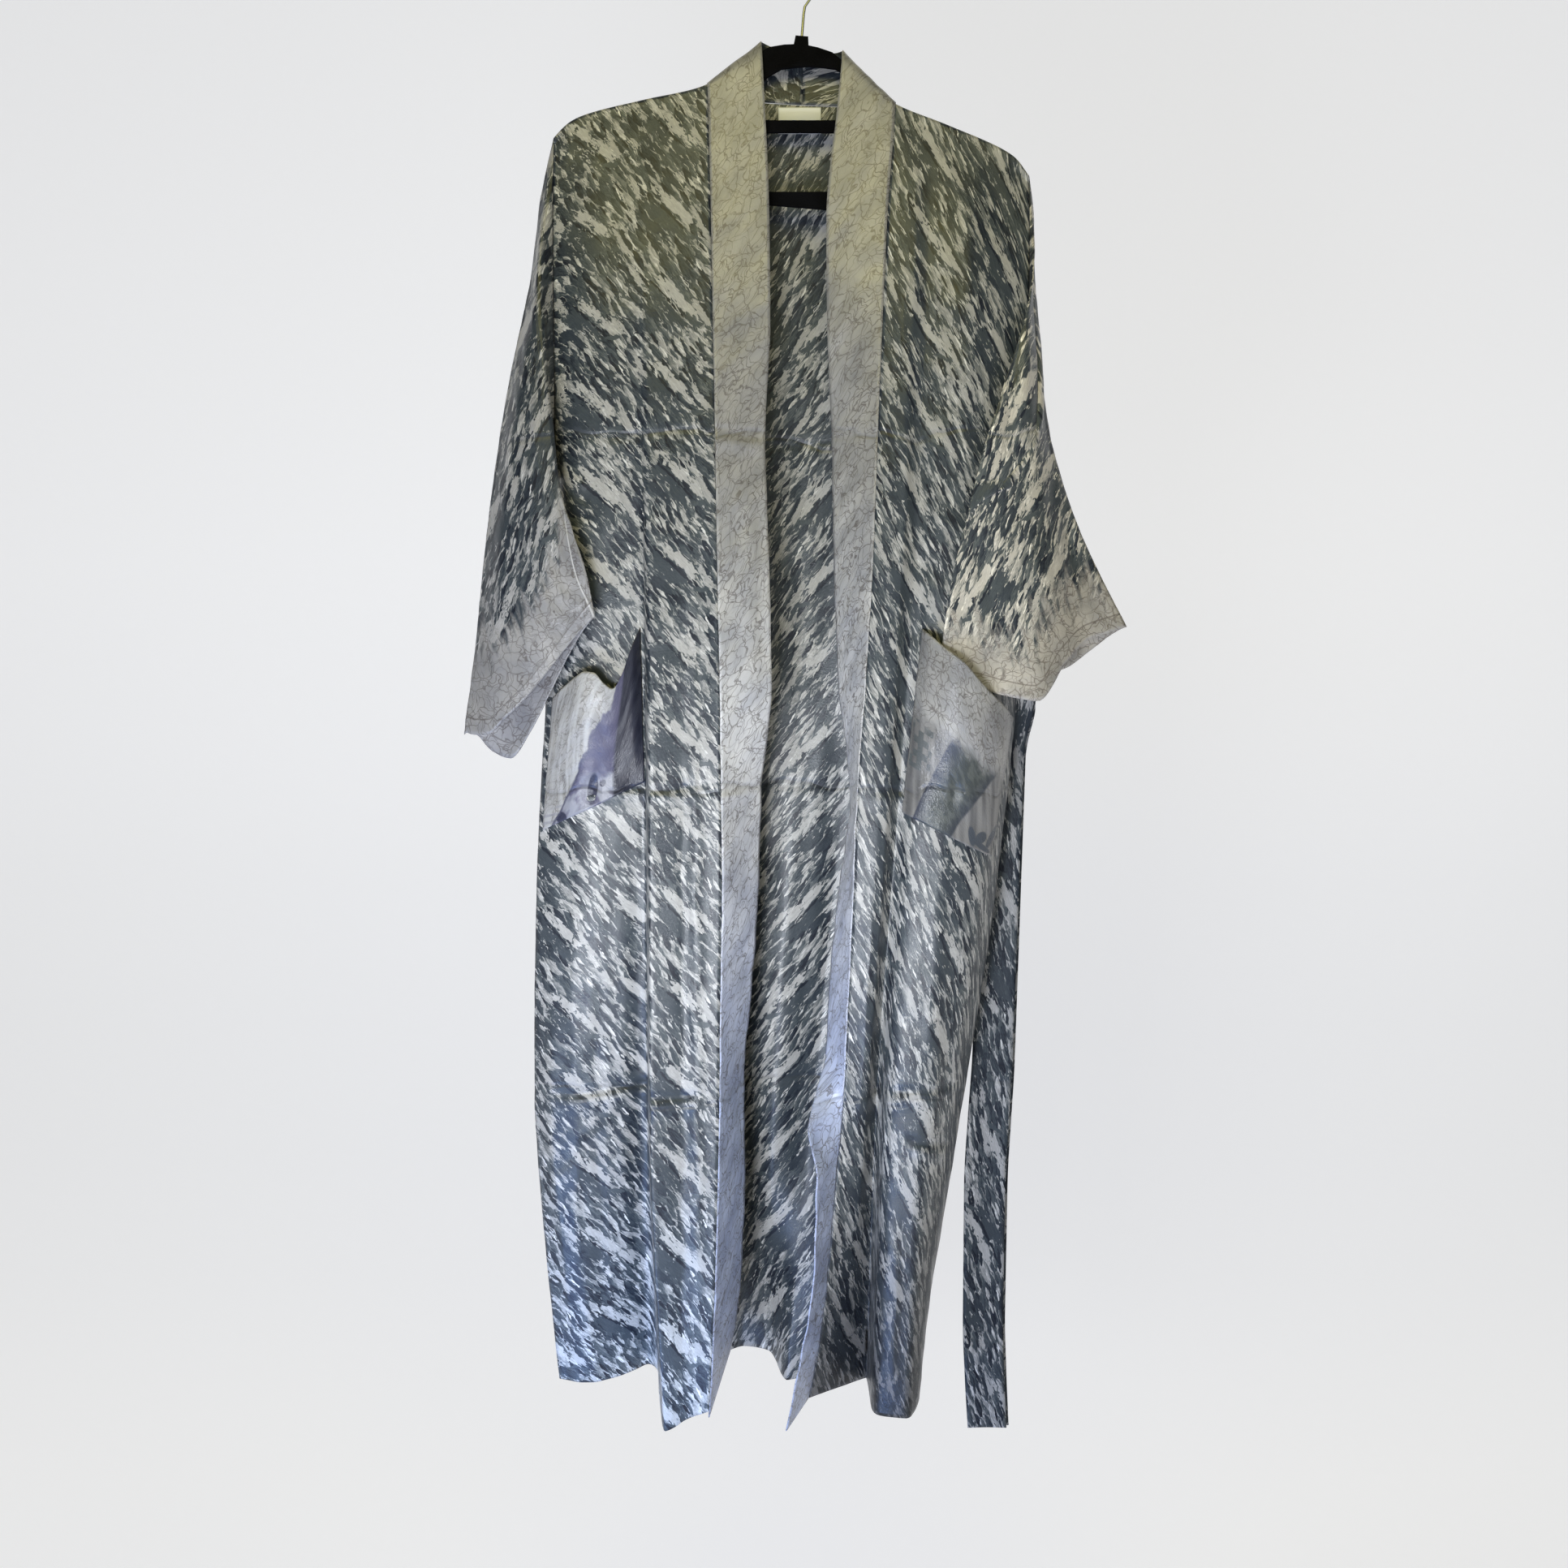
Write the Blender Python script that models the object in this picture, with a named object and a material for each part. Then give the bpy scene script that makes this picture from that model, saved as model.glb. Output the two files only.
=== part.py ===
"""Open kimono robe hanging on a slim flocked hanger.

World frame: metres, +Z up, X to the viewer's right, Y away from the viewer, who faces the robe's
front. The origin is the inside top of the hanger's hook, where it is held up. Left and right in
names are the viewer's. Tables are in millimetres.
"""

import math
from collections import namedtuple
from functools import lru_cache

import bmesh
import bpy
import numpy as np

MM = 0.001

# Driving sizes, in millimetres
CLOTH = 1.2
BELT_CLOTH = 1.8
SEAM = 1.2
SIDE_SEAM = 0.95
HANGER_TILT = math.radians(4.6)
HANGER_THICK = 5.0
HANGER_OUT = 212.5
ARM_HEIGHT = 19.0
CLEAR = 2.4
TIE_BAR = (-153.5, -164.5)
TROUSER_BAR = (-219.5, -233.5)
COLLAR_TOP = -76.5
HOOK_ROD = 2.6
HOOK_INSIDE = 18.0

# Heights that the folds are given at
TOP, CHEST, UNDERARM, WAIST, THIGH, KNEE, HEM = -165, -340, -487, -640, -900, -1100, -1391

# The top line of the hanger's arms in its own upright frame
Arm = namedtuple("Arm", "out top")
ARM = (
    Arm(0, -84.5),
    Arm(23, -86.5),
    Arm(37, -93.5),
    Arm(60, -112),
    Arm(90, -132.5),
    Arm(145, -149.5),
    Arm(200, -168),
    Arm(214, -176.5),
    Arm(228, -193),
)

# The cloth over the arm: how far behind or before the ridge its rows lie, and how far below it
CROWN = ((0.35, 0.0), (2.7, -0.3), (4.6, -2.6))
BESIDE_ARM = 4.9
BELOW_RIDGE = 7

# Side seams. The armhole above the underarm is a lens, half its depth to the front and half to the back
Side = namedtuple("Side", "z x y")
LEFT_SIDE = (
    Side(-150, -241, 0),
    Side(CHEST, -241, -1),
    Side(UNDERARM, -243, -2),
    Side(WAIST, -251, 0),
    Side(THIGH, -267, 1),
    Side(KNEE, -271.5, 5),
    Side(-1240, -264, 8),
    Side(HEM - 20, -249, 10),
)
RIGHT_SIDE = (
    Side(-180, 209.5, 0),
    Side(CHEST, 209, 0),
    Side(UNDERARM, 208, 0),
    Side(WAIST, 206, 0),
    Side(THIGH, 184, 0),
    Side(KNEE, 155, 1),
    Side(-1240, 134, 6),
    Side(HEM - 20, 107, 14),
)
ARMHOLE_DEPTH = 16.0

# Crests and valleys of the panels: x where the fold passes each height, then how far back it lies
Fold = namedtuple("Fold", "name x_top x_waist x_knee x_hem y_chest y_waist y_thigh y_knee y_hem drop")
FRONT_LEFT = (
    Fold("side roll", -222, -232, -247, -222, -26, -20, -16, -12, 4, 2),
    Fold("side panel", -195, -203, -209, -190, -33, -29, -25, -14, 16, 0),
    Fold("valley", -164, -159, -160, -157, -36, -30, -18, 0, 38, -4),
    Fold("sharp ridge", -149, -150, -151, -138, -38, -43, -54, -62, -76, 15),
    Fold("soft valley", -118, -112, -116, -116, -33, -40, -50, -56, -68, 6),
)
FRONT_RIGHT = (
    Fold("inner roll", 100, 80, 53, 29, -33, -46, -50, -42, -20, -3),
    Fold("valley", 118, 97, 68, 60, -29, -37, -34, -18, 2, -4),
    Fold("ridge in", 134, 116, 79, 64, -34, -42, -48, -50, -60, 4),
    Fold("ridge out", 152, 142, 108, 96, -36, -45, -52, -56, -70, 5),
    Fold("side roll", 178, 180, 138, 112, -27, -37, -37, -32, -22, 0),
)
BACK = (
    Fold("left roll", -212, -214, -232, -208, 24, 28, 32, 36, 42, 0),
    Fold("left blade", -157, -165, -180, -160, 31, 38, 46, 52, 60, -2),
    Fold("left neck", -102, -116, -134, -120, 34, 42, 39, 38, 48, -2),
    Fold("left collar", -93.9, -98, -116, -102, 35, 42, 38, 36, 50, -2),
    Fold("left centre", -50, -54, -72, -66, 33, 37, 50, 58, 76, -6),
    Fold("centre", -5, -6, -32, -38, 34, 46, 37, 36, 68, -4),
    Fold("right centre", 40, 42, 8, -20, 33, 37, 48, 50, 24, 8),
    Fold("right collar", 81.1, 77, 38, 2, 35, 45, 37, 35, 27, 4),
    Fold("right neck", 89, 97, 54, 16, 34, 45, 36, 34, 30, 3),
    Fold("right blade", 132, 130, 84, 44, 31, 38, 45, 46, 52, -2),
    Fold("right roll", 178, 175, 122, 80, 23, 24, 28, 30, 42, 0),
)

# Neckband halves from the hem up over the shoulder to the centre of the back: seam edge, then free edge
Band = namedtuple("Band", "name sx sy sz fx fy fz")
BAND_LEFT = (
    Band("hem", -96, -66, -1397, -77, -14, -1352),
    Band("above hem", -91, -64, -1300, -68, -13, -1296),
    Band("shin", -87, -59, -1174, -62, -10, -1174),
    Band("knee", -85, -56, -1080, -63, -6, -1080),
    Band("thigh", -84, -53, -984, -55, -8, -984),
    Band("hip", -82, -50, -880, -48, -8, -880),
    Band("crease", -83, -49, -786, -45, -14, -786),
    Band("waist", -84, -48, -690, -35, -27, -690),
    Band("rib", -86, -44, -580, -37, -25, -580),
    Band("dimple", -88, -38, -450, -41, -17, -450),
    Band("chest", -90, -30, -345, -36, -20, -345),
    Band("upper chest", -92, -19, -238, -37, -13, -238),
    Band("collar", -94, -9, -162, -41, -9, -144),
    Band("arm front", -95.2, -4.8, -122.3, -43.8, -5, -90),
    Band("shoulder", -95.5, 0, -119.6, -45, 0, -81),
    Band("arm back", -93.4, 4.8, -120.4, -44.5, 5.4, -78.8),
    Band("neck side", -84, 10.5, -127, -42, 10.5, -79),
    Band("nape side", -58, 15, -131, -33, 16, -81),
    Band("nape", -5.2, 17, -134, -5.2, 18, -85),
)
BAND_RIGHT = (
    Band("tip", 1, -36, -1391, -21, -80, -1404),
    Band("low", 12, -40, -1330, -6, -71, -1331),
    Band("shin", 21, -44, -1245, 6, -76, -1245),
    Band("below kink", 28, -45, -1160, 8, -78, -1152),
    Band("kink", 33.5, -45, -1104, 0, -62, -1112),
    Band("above kink", 36, -45, -1058, 18, -12, -1052),
    Band("thigh", 39, -45, -990, 22, 4, -990),
    Band("hip", 43, -46, -900, 30, 6, -900),
    Band("pinch", 46.5, -48, -797, 42.5, 4, -797),
    Band("waist", 54, -47, -690, 31, -2, -695),
    Band("rib", 61, -43, -570, 25.5, -3, -570),
    Band("crease", 65.5, -36, -450, 23, -4, -450),
    Band("chest", 70, -28, -340, 18, -14, -345),
    Band("upper chest", 75, -17, -238, 17, -13, -245),
    Band("collar", 80, -9, -174, 26, -9, -154),
    Band("arm front", 82.2, -4.8, -139.8, 31.5, -5, -98),
    Band("shoulder", 82.5, 0, -137.1, 32, 0, -89.5),
    Band("arm back", 80.6, 4.8, -137.8, 32.5, 5.4, -87.3),
    Band("neck side", 73, 10.5, -139.5, 30, 10.5, -87),
    Band("nape side", 50, 15, -137, 22, 16, -86.5),
    Band("nape", -4.8, 17, -134, -4.8, 18, -85),
)

# Sleeves as flattened tubes: the outer and the inner edge of each ring, the fullness and lean of its
# two layers, how far both are bent forward past a step, and how far each hangs below the straight line
Ring = namedtuple("Ring", "name ox oy oz ix iy iz front back lean_front lean_back step bend sag_front sag_back")
SLEEVE_LEFT = (
    Ring("shoulder", -254, -3, -226, -247, -22, -493, 18, 14, 4, -3, 0, 0, 0, 0),
    Ring("upper", -264, -5, -300, -238, -42, -504, 19, 8, 6, -5, 0, 0, 0, 0),
    Ring("middle", -283, -7, -385, -228, -51, -522, 19, 6, 4, -4, 0, 0, 0, 0),
    Ring("elbow", -298, -9, -468, -220, -55, -545, 19, 5, 3, 0, 0, 0, 2, 2),
    Ring("lower", -311, -10, -560, -210, -57, -575, 19, 5, 0, 0, 0, 0, 5, 10),
    Ring("border", -321, -12, -650, -204, -57, -602, 19, 5, 0, 0, 0, 0, 12, 35),
    Ring("cuff", -333, -14, -735, -201, -56, -622, 18, 6, 0, 0, 0, 0, 22, 62),
)
SLEEVE_RIGHT = (
    Ring("shoulder", 215, -1, -250, 205, -32, -496, 16, 10, -8, 16, 0, 2, 0, 0),
    Ring("upper", 215, -3, -305, 178, -52, -505, 14, 8, -16, 28, 0, 8, 0, 0),
    Ring("middle", 221, -4, -368, 154, -56, -522, 12, 5, -12, 20, 0, 14, 0, 0),
    Ring("elbow", 232, -3, -446, 140, -57, -562, 10, 3, -6, 10, 0, 12, 4, 2),
    Ring("lower", 264, 6, -538, 129, -58, -622, 8, 2, -2, 4, 0.12, 16, 18, 8),
    Ring("cuff", 314, 20, -631, 121, -57, -690, 5, 1, 0, 0, 0.27, 27, 44, 20),
)
TUBE_HALF = 3.4

# Pockets: corners as x and z on the front panel, and how the mouth stands off
Pocket = namedtuple("Pocket", "inner_top outer_top inner_foot outer_foot stand_off sag sag_at bow")
POCKET_LEFT = Pocket((-165, -632), (-246, -704), (-165, -780), (-258, -829), 17, 44, 0.17, 6)
POCKET_RIGHT = Pocket((109, -633), (198, -719), (91, -808), (176, -852), 22, -4, 0.4, 0)

# The belt hangs doubled over its loop: one tail to the front of the other
Tail = namedtuple("Tail", "z left right y_front y_back")
TAILS = (
    Tail(-663, 209.6, 216.4, -5.8, 5.8),
    Tail(-682, 208, 219, 0, 9),
    Tail(-712, 199, 222, 12, 19),
    Tail(-760, 177, 215, 27, 33),
    Tail(-900, 173, 211, 29, 35),
    Tail(-1067, 167, 208, 29, 35),
    Tail(-1200, 160, 202, 29, 35),
    Tail(-1330, 160, 201, 29, 35),
    Tail(-1452, 166, 206, 29, 35),
)
BELT_SADDLE_Z = -652.5
LOOP_HALF = 29.0
LOOP_OUT = 19.0
LOOP_Z = -632.0
LOOP_WIDTH = 6.0

LABEL_X = (-28.5, 12.5)
LABEL_Z = (-136.5, -161.0)
LABEL_Y = 15.7


# Where one cloth is cut into walls, so that the collision of each can follow its folds
NODE_GAP = 0.32
PANEL_CUTS = (("upper", 11), ("middle", 18), ("lower", 26))
BACK_CUT = 20
BAND_LEFT_CUTS = (("lower", 10), ("middle", 20), ("upper", 36))
BAND_RIGHT_CUTS = (("lower", 14), ("middle", 24), ("upper", 40))


def ease(knots, values, at):
    """Smooth curve through a short table that never swings past its rows; knots rise."""
    knots = np.asarray(knots, dtype=float)
    values = np.asarray(values, dtype=float)
    step = np.diff(knots).reshape([-1] + [1] * (values.ndim - 1))
    rate = np.diff(values, axis=0) / step
    slope = np.zeros_like(values)
    product = rate[:-1] * rate[1:]
    total = rate[:-1] + rate[1:]
    slope[1:-1] = np.where(product > 0, 2 * product / np.where(total == 0, 1, total), 0)
    slope[0], slope[-1] = rate[0], rate[-1]
    at = min(max(float(at), knots[0]), knots[-1])
    i = min(max(int(np.searchsorted(knots, at)) - 1, 0), len(knots) - 2)
    width = knots[i + 1] - knots[i]
    t = (at - knots[i]) / width
    return (
        values[i] * (1 + 2 * t) * (1 - t) ** 2
        + values[i + 1] * t * t * (3 - 2 * t)
        + slope[i] * width * t * (1 - t) ** 2
        - slope[i + 1] * width * t * t * (1 - t)
    )


def unit(vectors):
    """The same directions, one long."""
    return vectors / np.linalg.norm(vectors, axis=-1, keepdims=True)


def smooth(t):
    """0 to 1 with level ends."""
    t = min(max(t, 0.0), 1.0)
    return t * t * (3 - 2 * t)


def tilted(x, z):
    """A point of the upright hanger's plane, turned to how it hangs."""
    c, s = math.cos(HANGER_TILT), math.sin(HANGER_TILT)
    return x * c + z * s, z * c - x * s


def arm_top(out):
    """Height of the arm's top edge in the upright hanger."""
    return float(ease([a.out for a in ARM], [a.top for a in ARM], abs(out)))


def ridge(x):
    """Height of the shoulder fold of the cloth at a world x."""
    out = x
    for _ in range(12):
        found, _ = tilted(out, arm_top(out))
        out += x - found
    return tilted(out, arm_top(out))[1] + CLEAR


def side_point(table, z, layer):
    """Edge of a front (layer -1) or back (+1) panel at the side seam and armhole."""
    x, y = ease([-s.z for s in table], [(s.x, s.y) for s in table], -z)
    top = ridge(table[0].x)
    share = min(max((top - z) / (top - UNDERARM), 0.0), 1.0)
    lens = ARMHOLE_DEPTH * math.sin(math.pi * share) ** 0.75
    return np.array([x, y + layer * (SIDE_SEAM + lens), z])


def band_curve(table, t, free=False):
    """Seam or free edge of a neckband half, t from 0 at the hem to 1 at the centre of the back."""
    rows = [(b.fx, b.fy, b.fz) if free else (b.sx, b.sy, b.sz) for b in table]
    return ease(range(len(rows)), rows, t * (len(rows) - 1))


def find(function, goal, low, high):
    """Where a rising function meets a value."""
    for _ in range(40):
        middle = (low + high) / 2
        if function(middle) < goal:
            low = middle
        else:
            high = middle
    return (low + high) / 2


def share_of(table, name):
    """How far along a neckband half a named row lies."""
    names = [b.name for b in table]
    return names.index(name) / (len(table) - 1)


def behind_neck(x):
    """Whether the back's top edge meets the neckband at this x, not the shoulder fold."""
    low = next(b.sx for b in BAND_LEFT if b.name == "arm back")
    high = next(b.sx for b in BAND_RIGHT if b.name == "arm back")
    return low - SEAM / 2 < x < high + SEAM / 2


def band_seam_at(table, z):
    """Seam edge of a neckband half at a height, below the shoulder."""
    end = share_of(table, "shoulder")
    t = find(lambda s: band_curve(table, s)[2], z, 0, end)
    return band_curve(table, t)


def neck_edge(x):
    """Seam edge of the neckband behind the neck at a world x."""
    table = BAND_LEFT if x < BAND_LEFT[-1].sx else BAND_RIGHT
    sign = 1 if table is BAND_LEFT else -1
    t = find(lambda s: sign * band_curve(table, s)[0], sign * x, share_of(table, "shoulder"), 1)
    return band_curve(table, t)


class Front:
    """A front panel between its side seam and its neckband."""

    layer = -1

    def __init__(self, folds, side, band):
        self.folds, self.side, self.band = folds, side, band
        self.out = -1 if side[0].x < 0 else 1

    @lru_cache(maxsize=None)
    def columns(self, z):
        """Crests, valleys and edges at a nominal height, from the left to the right."""
        points = [fold_point(fold, z, self.layer) for fold in self.folds]
        fade = smooth((z - CHEST) / (TOP - CHEST))
        edge_z = z + (ridge(self.side[0].x) - BELOW_RIDGE - TOP) * fade
        side = side_point(self.side, edge_z, self.layer)
        band_z = z + (self.shoulder_z() - BELOW_RIDGE - TOP) * fade
        seam = band_seam_at(self.band, band_z)
        seam = seam + np.array([self.out * SEAM, 0, 0])
        if self.out < 0:
            return np.array([side] + points + [seam])
        return np.array([seam] + points + [side])

    def shoulder_z(self):
        """Height at which the neckband's seam crosses the shoulder."""
        return next(b.sz for b in self.band if b.name == "shoulder")


class Back:
    """The back panel between both side seams."""

    layer = 1

    @lru_cache(maxsize=None)
    def columns(self, z):
        """Crests, valleys and edges at a nominal height, from the left to the right."""
        fade = smooth((z - CHEST) / (TOP - CHEST))
        sides = []
        for table in (LEFT_SIDE, RIGHT_SIDE):
            edge_z = z + (ridge(table[0].x) - BELOW_RIDGE - TOP) * fade
            sides.append(side_point(table, edge_z, self.layer))
        points = [fold_point(fold, z, self.layer) for fold in BACK]
        return np.array([sides[0]] + points + [sides[1]])


def fold_point(fold, z, layer):
    """Where a fold passes a nominal height."""
    x = ease([-TOP, -WAIST, -KNEE, -HEM], [fold.x_top, fold.x_waist, fold.x_knee, fold.x_hem], -z)
    if layer > 0 and behind_neck(fold.x_top):
        edge = neck_edge(fold.x_top)
        top_y, top_z = edge[1] + 1, edge[2] - 8
    else:
        top_y, top_z = layer * BESIDE_ARM, ridge(fold.x_top) - BELOW_RIDGE
    depths = [top_y, fold.y_chest, fold.y_waist, fold.y_thigh, fold.y_knee, fold.y_hem]
    y = ease([-TOP, -CHEST, -WAIST, -THIGH, -KNEE, -HEM], depths, -z)
    lift = (top_z - TOP) * smooth((z - CHEST) / (TOP - CHEST))
    drop = fold.drop * smooth((KNEE - z) / (KNEE - HEM))
    return np.array([x, y, z + lift - drop])


def panel_point(panel, u, z):
    """A point of a panel: u from 0 at its left edge to 1 at its right edge."""
    columns = panel.columns(z)
    return ease(range(len(columns)), columns, u * (len(columns) - 1))



def panel_rows(panel, across, down):
    """All points of a panel, from the shoulder fold down to the hem."""
    shares = np.linspace(0, 1, across + 1)
    body = []
    for z in down:
        columns = panel.columns(z)
        body.append([ease(range(len(columns)), columns, u * (len(columns) - 1)) for u in shares])
    rows = []
    for back, below in CROWN:
        row = []
        for first in body[0]:
            x = first[0]
            if panel.layer > 0 and behind_neck(x):
                edge = neck_edge(x)
                row.append(np.array([x, edge[1] + 0.9, edge[2] - SEAM + below]))
            else:
                row.append(np.array([x, panel.layer * back, ridge(x) + below]))
        rows.append(row)
    return np.array(rows + body)


def heights(counts):
    """Nominal heights of the rows: so many steps between each two named heights."""
    stops = (TOP, CHEST, UNDERARM, WAIST, THIGH, KNEE, HEM)
    out = [float(TOP)]
    for upper, lower, count in zip(stops, stops[1:], counts):
        out += list(np.linspace(upper, lower, count + 1)[1:])
    return out


def band_rows(table, rows_each):
    """Points of a neckband half, slightly crowned across."""
    steps = (len(table) - 1) * rows_each
    out = []
    for i in range(steps + 1):
        t = i / steps
        seam, free = band_curve(table, t), band_curve(table, t, free=True)
        out.append([seam + (free - seam) * s for s in np.linspace(0, 1, 5)])
    return np.array(out)


def ring_points(ring, around):
    """One ring of a sleeve from its outer edge along the front layer to the inner edge and back."""
    outer = np.array([ring.ox, ring.oy, ring.oz])
    inner = np.array([ring.ix, ring.iy, ring.iz])
    points = []
    for k in range(around):
        angle = 2 * math.pi * k / around
        s = (1 - math.cos(angle)) / 2
        skew = 6.75 * s * s * (1 - s)
        point = outer + (inner - outer) * s
        past = smooth((s - ring.step) / 0.16) * (1 - s) / (0.84 - ring.step)
        point[1] -= TUBE_HALF * math.sin(angle) + ring.bend * past
        if angle < math.pi:
            full = smooth((s - ring.step) / 0.2) * smooth((1 - s) / 0.6)
            point += np.array([ring.lean_front * skew, -ring.front * full, -ring.sag_front * full])
        else:
            full = smooth(s / 0.35) * smooth((1 - s) / 0.65)
            point += np.array([ring.lean_back * skew, ring.back * full, -ring.sag_back * full])
        points.append(point)
    return points


def armhole_points(side, around):
    """The sleeve's first ring, along the armhole edges of the front and back panels."""
    out = -1 if side[0].x < 0 else 1
    top = ridge(side[0].x)
    points = []
    for k in range(around):
        angle = 2 * math.pi * k / around
        z = top + (UNDERARM - top) * (1 - math.cos(angle)) / 2
        layer = -1 if angle <= math.pi else 1
        point = side_point(side, z, layer)
        if k in (0, around // 2):
            point[1] = ease([-s.z for s in side], [s.y for s in side], -z)
        point[0] += out * (SEAM + 0.3)
        points.append(point)
    return points


def sleeve_rows(table, side, around, rows_each):
    """Points of a sleeve from the armhole to the cuff."""
    rings = np.array([armhole_points(side, around)] + [ring_points(r, around) for r in table])
    steps = (len(rings) - 1) * rows_each
    return np.array([ease(range(len(rings)), rings, i / rows_each) for i in range(steps + 1)])


def on_panel(panel, x, z, stand_off):
    """The panel's point at x and z, moved out from it."""
    u = find(lambda s: panel_point(panel, s, z)[0], x, 0, 1)
    here = panel_point(panel, u, z)
    across = panel_point(panel, min(u + 0.01, 1), z) - panel_point(panel, max(u - 0.01, 0), z)
    down = panel_point(panel, u, z - 3) - panel_point(panel, u, z + 3)
    normal = np.cross(across, down)
    normal /= np.linalg.norm(normal)
    if normal[1] > 0:
        normal = -normal
    return here + normal * (CLOTH + 1.0) + np.array([0, -stand_off, 0])


def pocket_rows(panel, pocket, across, down):
    """Points of a patch pocket, sewn at its sides and foot and standing off at its mouth."""
    rows = []
    for j in range(down + 1):
        v = j / down
        row = []
        for i in range(across + 1):
            u = i / across
            top = np.array(pocket.inner_top) * (1 - u) + np.array(pocket.outer_top) * u
            foot = np.array(pocket.inner_foot) * (1 - u) + np.array(pocket.outer_foot) * u
            x, z = top * (1 - v) + foot * v
            edge = math.sin(math.pi * u) ** 0.4
            z -= pocket.sag * math.exp(-(((u - pocket.sag_at) / 0.16) ** 2)) * edge * (1 - v) ** 2
            z += pocket.bow * math.sin(math.pi * u) * (1 - v)
            out = pocket.stand_off * edge * smooth(1.15 * (1 - v)) if 0 < i < across else 0
            row.append(on_panel(panel, x, z, out))
        rows.append(row)
    return np.array(rows)


def belt_rows():
    """Points of the belt: up the front tail, over the loop and down the back tail."""
    front, back = [], []
    for z in [float(t.z) for t in TAILS[:-1]] + [-1130.0, -1390.0, float(TAILS[-1].z)]:
        left, right, y_front, y_back = ease(
            [-t.z for t in TAILS], [(t.left, t.right, t.y_front, t.y_back) for t in TAILS], -z
        )
        front.append([(left, y_front, z), ((left + right) / 2, y_front + 1, z), (right, y_front, z)])
        back.append([(left + 4, y_back, z), ((left + right) / 2 + 4, y_back + 1, z), (right + 3, y_back, z)])
    front.sort(key=lambda row: row[0][2])
    back.sort(key=lambda row: -row[0][2])
    left, right = TAILS[0].left, TAILS[0].right
    arch = []
    for share in (0.25, 0.5, 0.75):
        angle = math.pi * share
        y, z = -5.5 * math.cos(angle), TAILS[0].z + (BELT_SADDLE_Z - TAILS[0].z) * math.sin(angle)
        arch.append([(left + share * 4, y, z), ((left + right) / 2 + share * 4, y, z), (right + share * 3, y, z)])
    return np.array(front + arch + back)


def loop_rows(side, steps):
    """Points of a belt loop that arches out from the side seam."""
    out = -1 if side[0].x < 0 else 1
    rows = []
    for i in range(steps + 1):
        angle = math.pi * i / steps
        z = LOOP_Z + LOOP_HALF * math.cos(angle)
        x, y = ease([-s.z for s in side], [(s.x, s.y) for s in side], -z)
        x += out * (CLOTH + 0.2 + LOOP_OUT * math.sin(angle) ** 0.6)
        rows.append([(x, y - LOOP_WIDTH / 2, z), (x, y + LOOP_WIDTH / 2, z)])
    return np.array(rows)


def material(name, colour, roughness, metallic=0.0):
    """A plain finish."""
    made = bpy.data.materials.new(name)
    made.use_nodes = True
    shader = made.node_tree.nodes["Principled BSDF"]
    shader.inputs["Base Color"].default_value = (*colour, 1)
    shader.inputs["Roughness"].default_value = roughness
    shader.inputs["Metallic"].default_value = metallic
    return made


def add_object(name, mesh, finish):
    """Link a named object with one material."""
    made = bpy.data.objects.new(name, mesh)
    bpy.context.scene.collection.objects.link(made)
    mesh.materials.append(finish)
    return made


def cloth_object(name, points, finish, thick=CLOTH, tube=False):
    """A wall of cloth on a grid of points, or on rings when tube is set."""
    rows, columns = points.shape[:2]
    across = columns if tube else columns - 1
    bm = bmesh.new()
    bmesh.ops.create_grid(bm, x_segments=across, y_segments=rows - 1, size=1)
    for vert in bm.verts:
        i = round((vert.co.x + 1) / 2 * across) % columns
        j = round((vert.co.y + 1) / 2 * (rows - 1))
        vert.co = points[j][i] * MM
    if tube:
        bmesh.ops.remove_doubles(bm, verts=bm.verts, dist=0.00001)
    bmesh.ops.recalc_face_normals(bm, faces=bm.faces)
    mesh = bpy.data.meshes.new(name)
    bm.to_mesh(mesh)
    bm.free()
    mesh.shade_smooth()
    made = add_object(name, mesh, finish)
    wall = made.modifiers.new("wall", "SOLIDIFY")
    wall.thickness = thick * MM
    wall.offset = 0
    return made


def lengths(name, points, cuts, finish):
    """One cloth as several walls down its length, a seam's gap apart, with cuts as (label, last row)."""
    first = 0
    for label, last in cuts:
        rows = points[first : last + 1].copy()
        if first:
            rows[0] += NODE_GAP * unit(rows[1] - rows[0])
        cloth_object(f"{name}_{label}", rows, finish)
        first = last


def plate_object(name, outline, thick, finish=None):
    """An upright plate with its outline in the X-Z plane."""
    bm = bmesh.new()
    verts = [bm.verts.new((x * MM, -thick / 2 * MM, z * MM)) for x, z in outline]
    face = bm.faces.new(verts)
    made = bmesh.ops.extrude_face_region(bm, geom=[face])
    moved = [v for v in made["geom"] if isinstance(v, bmesh.types.BMVert)]
    bmesh.ops.translate(bm, verts=moved, vec=(0, thick * MM, 0))
    bmesh.ops.recalc_face_normals(bm, faces=bm.faces)
    mesh = bpy.data.meshes.new(name)
    bm.to_mesh(mesh)
    bm.free()
    if finish is None:
        cutter = bpy.data.objects.new(name, mesh)
        bpy.context.scene.collection.objects.link(cutter)
        cutter.hide_render = True
        cutter.display_type = "WIRE"
        return cutter
    return add_object(name, mesh, finish)


def mirrored(half):
    """A closed outline from its right half, listed from the top centre to the bottom centre."""
    return half + [(-x, z) for x, z in reversed(half) if x > 0]


def arm_line(start, end, below, count):
    """Points along the arm from one distance out to another, so far below its top."""
    return [(out, arm_top(out) - below) for out in np.linspace(start, end, count)]


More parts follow.
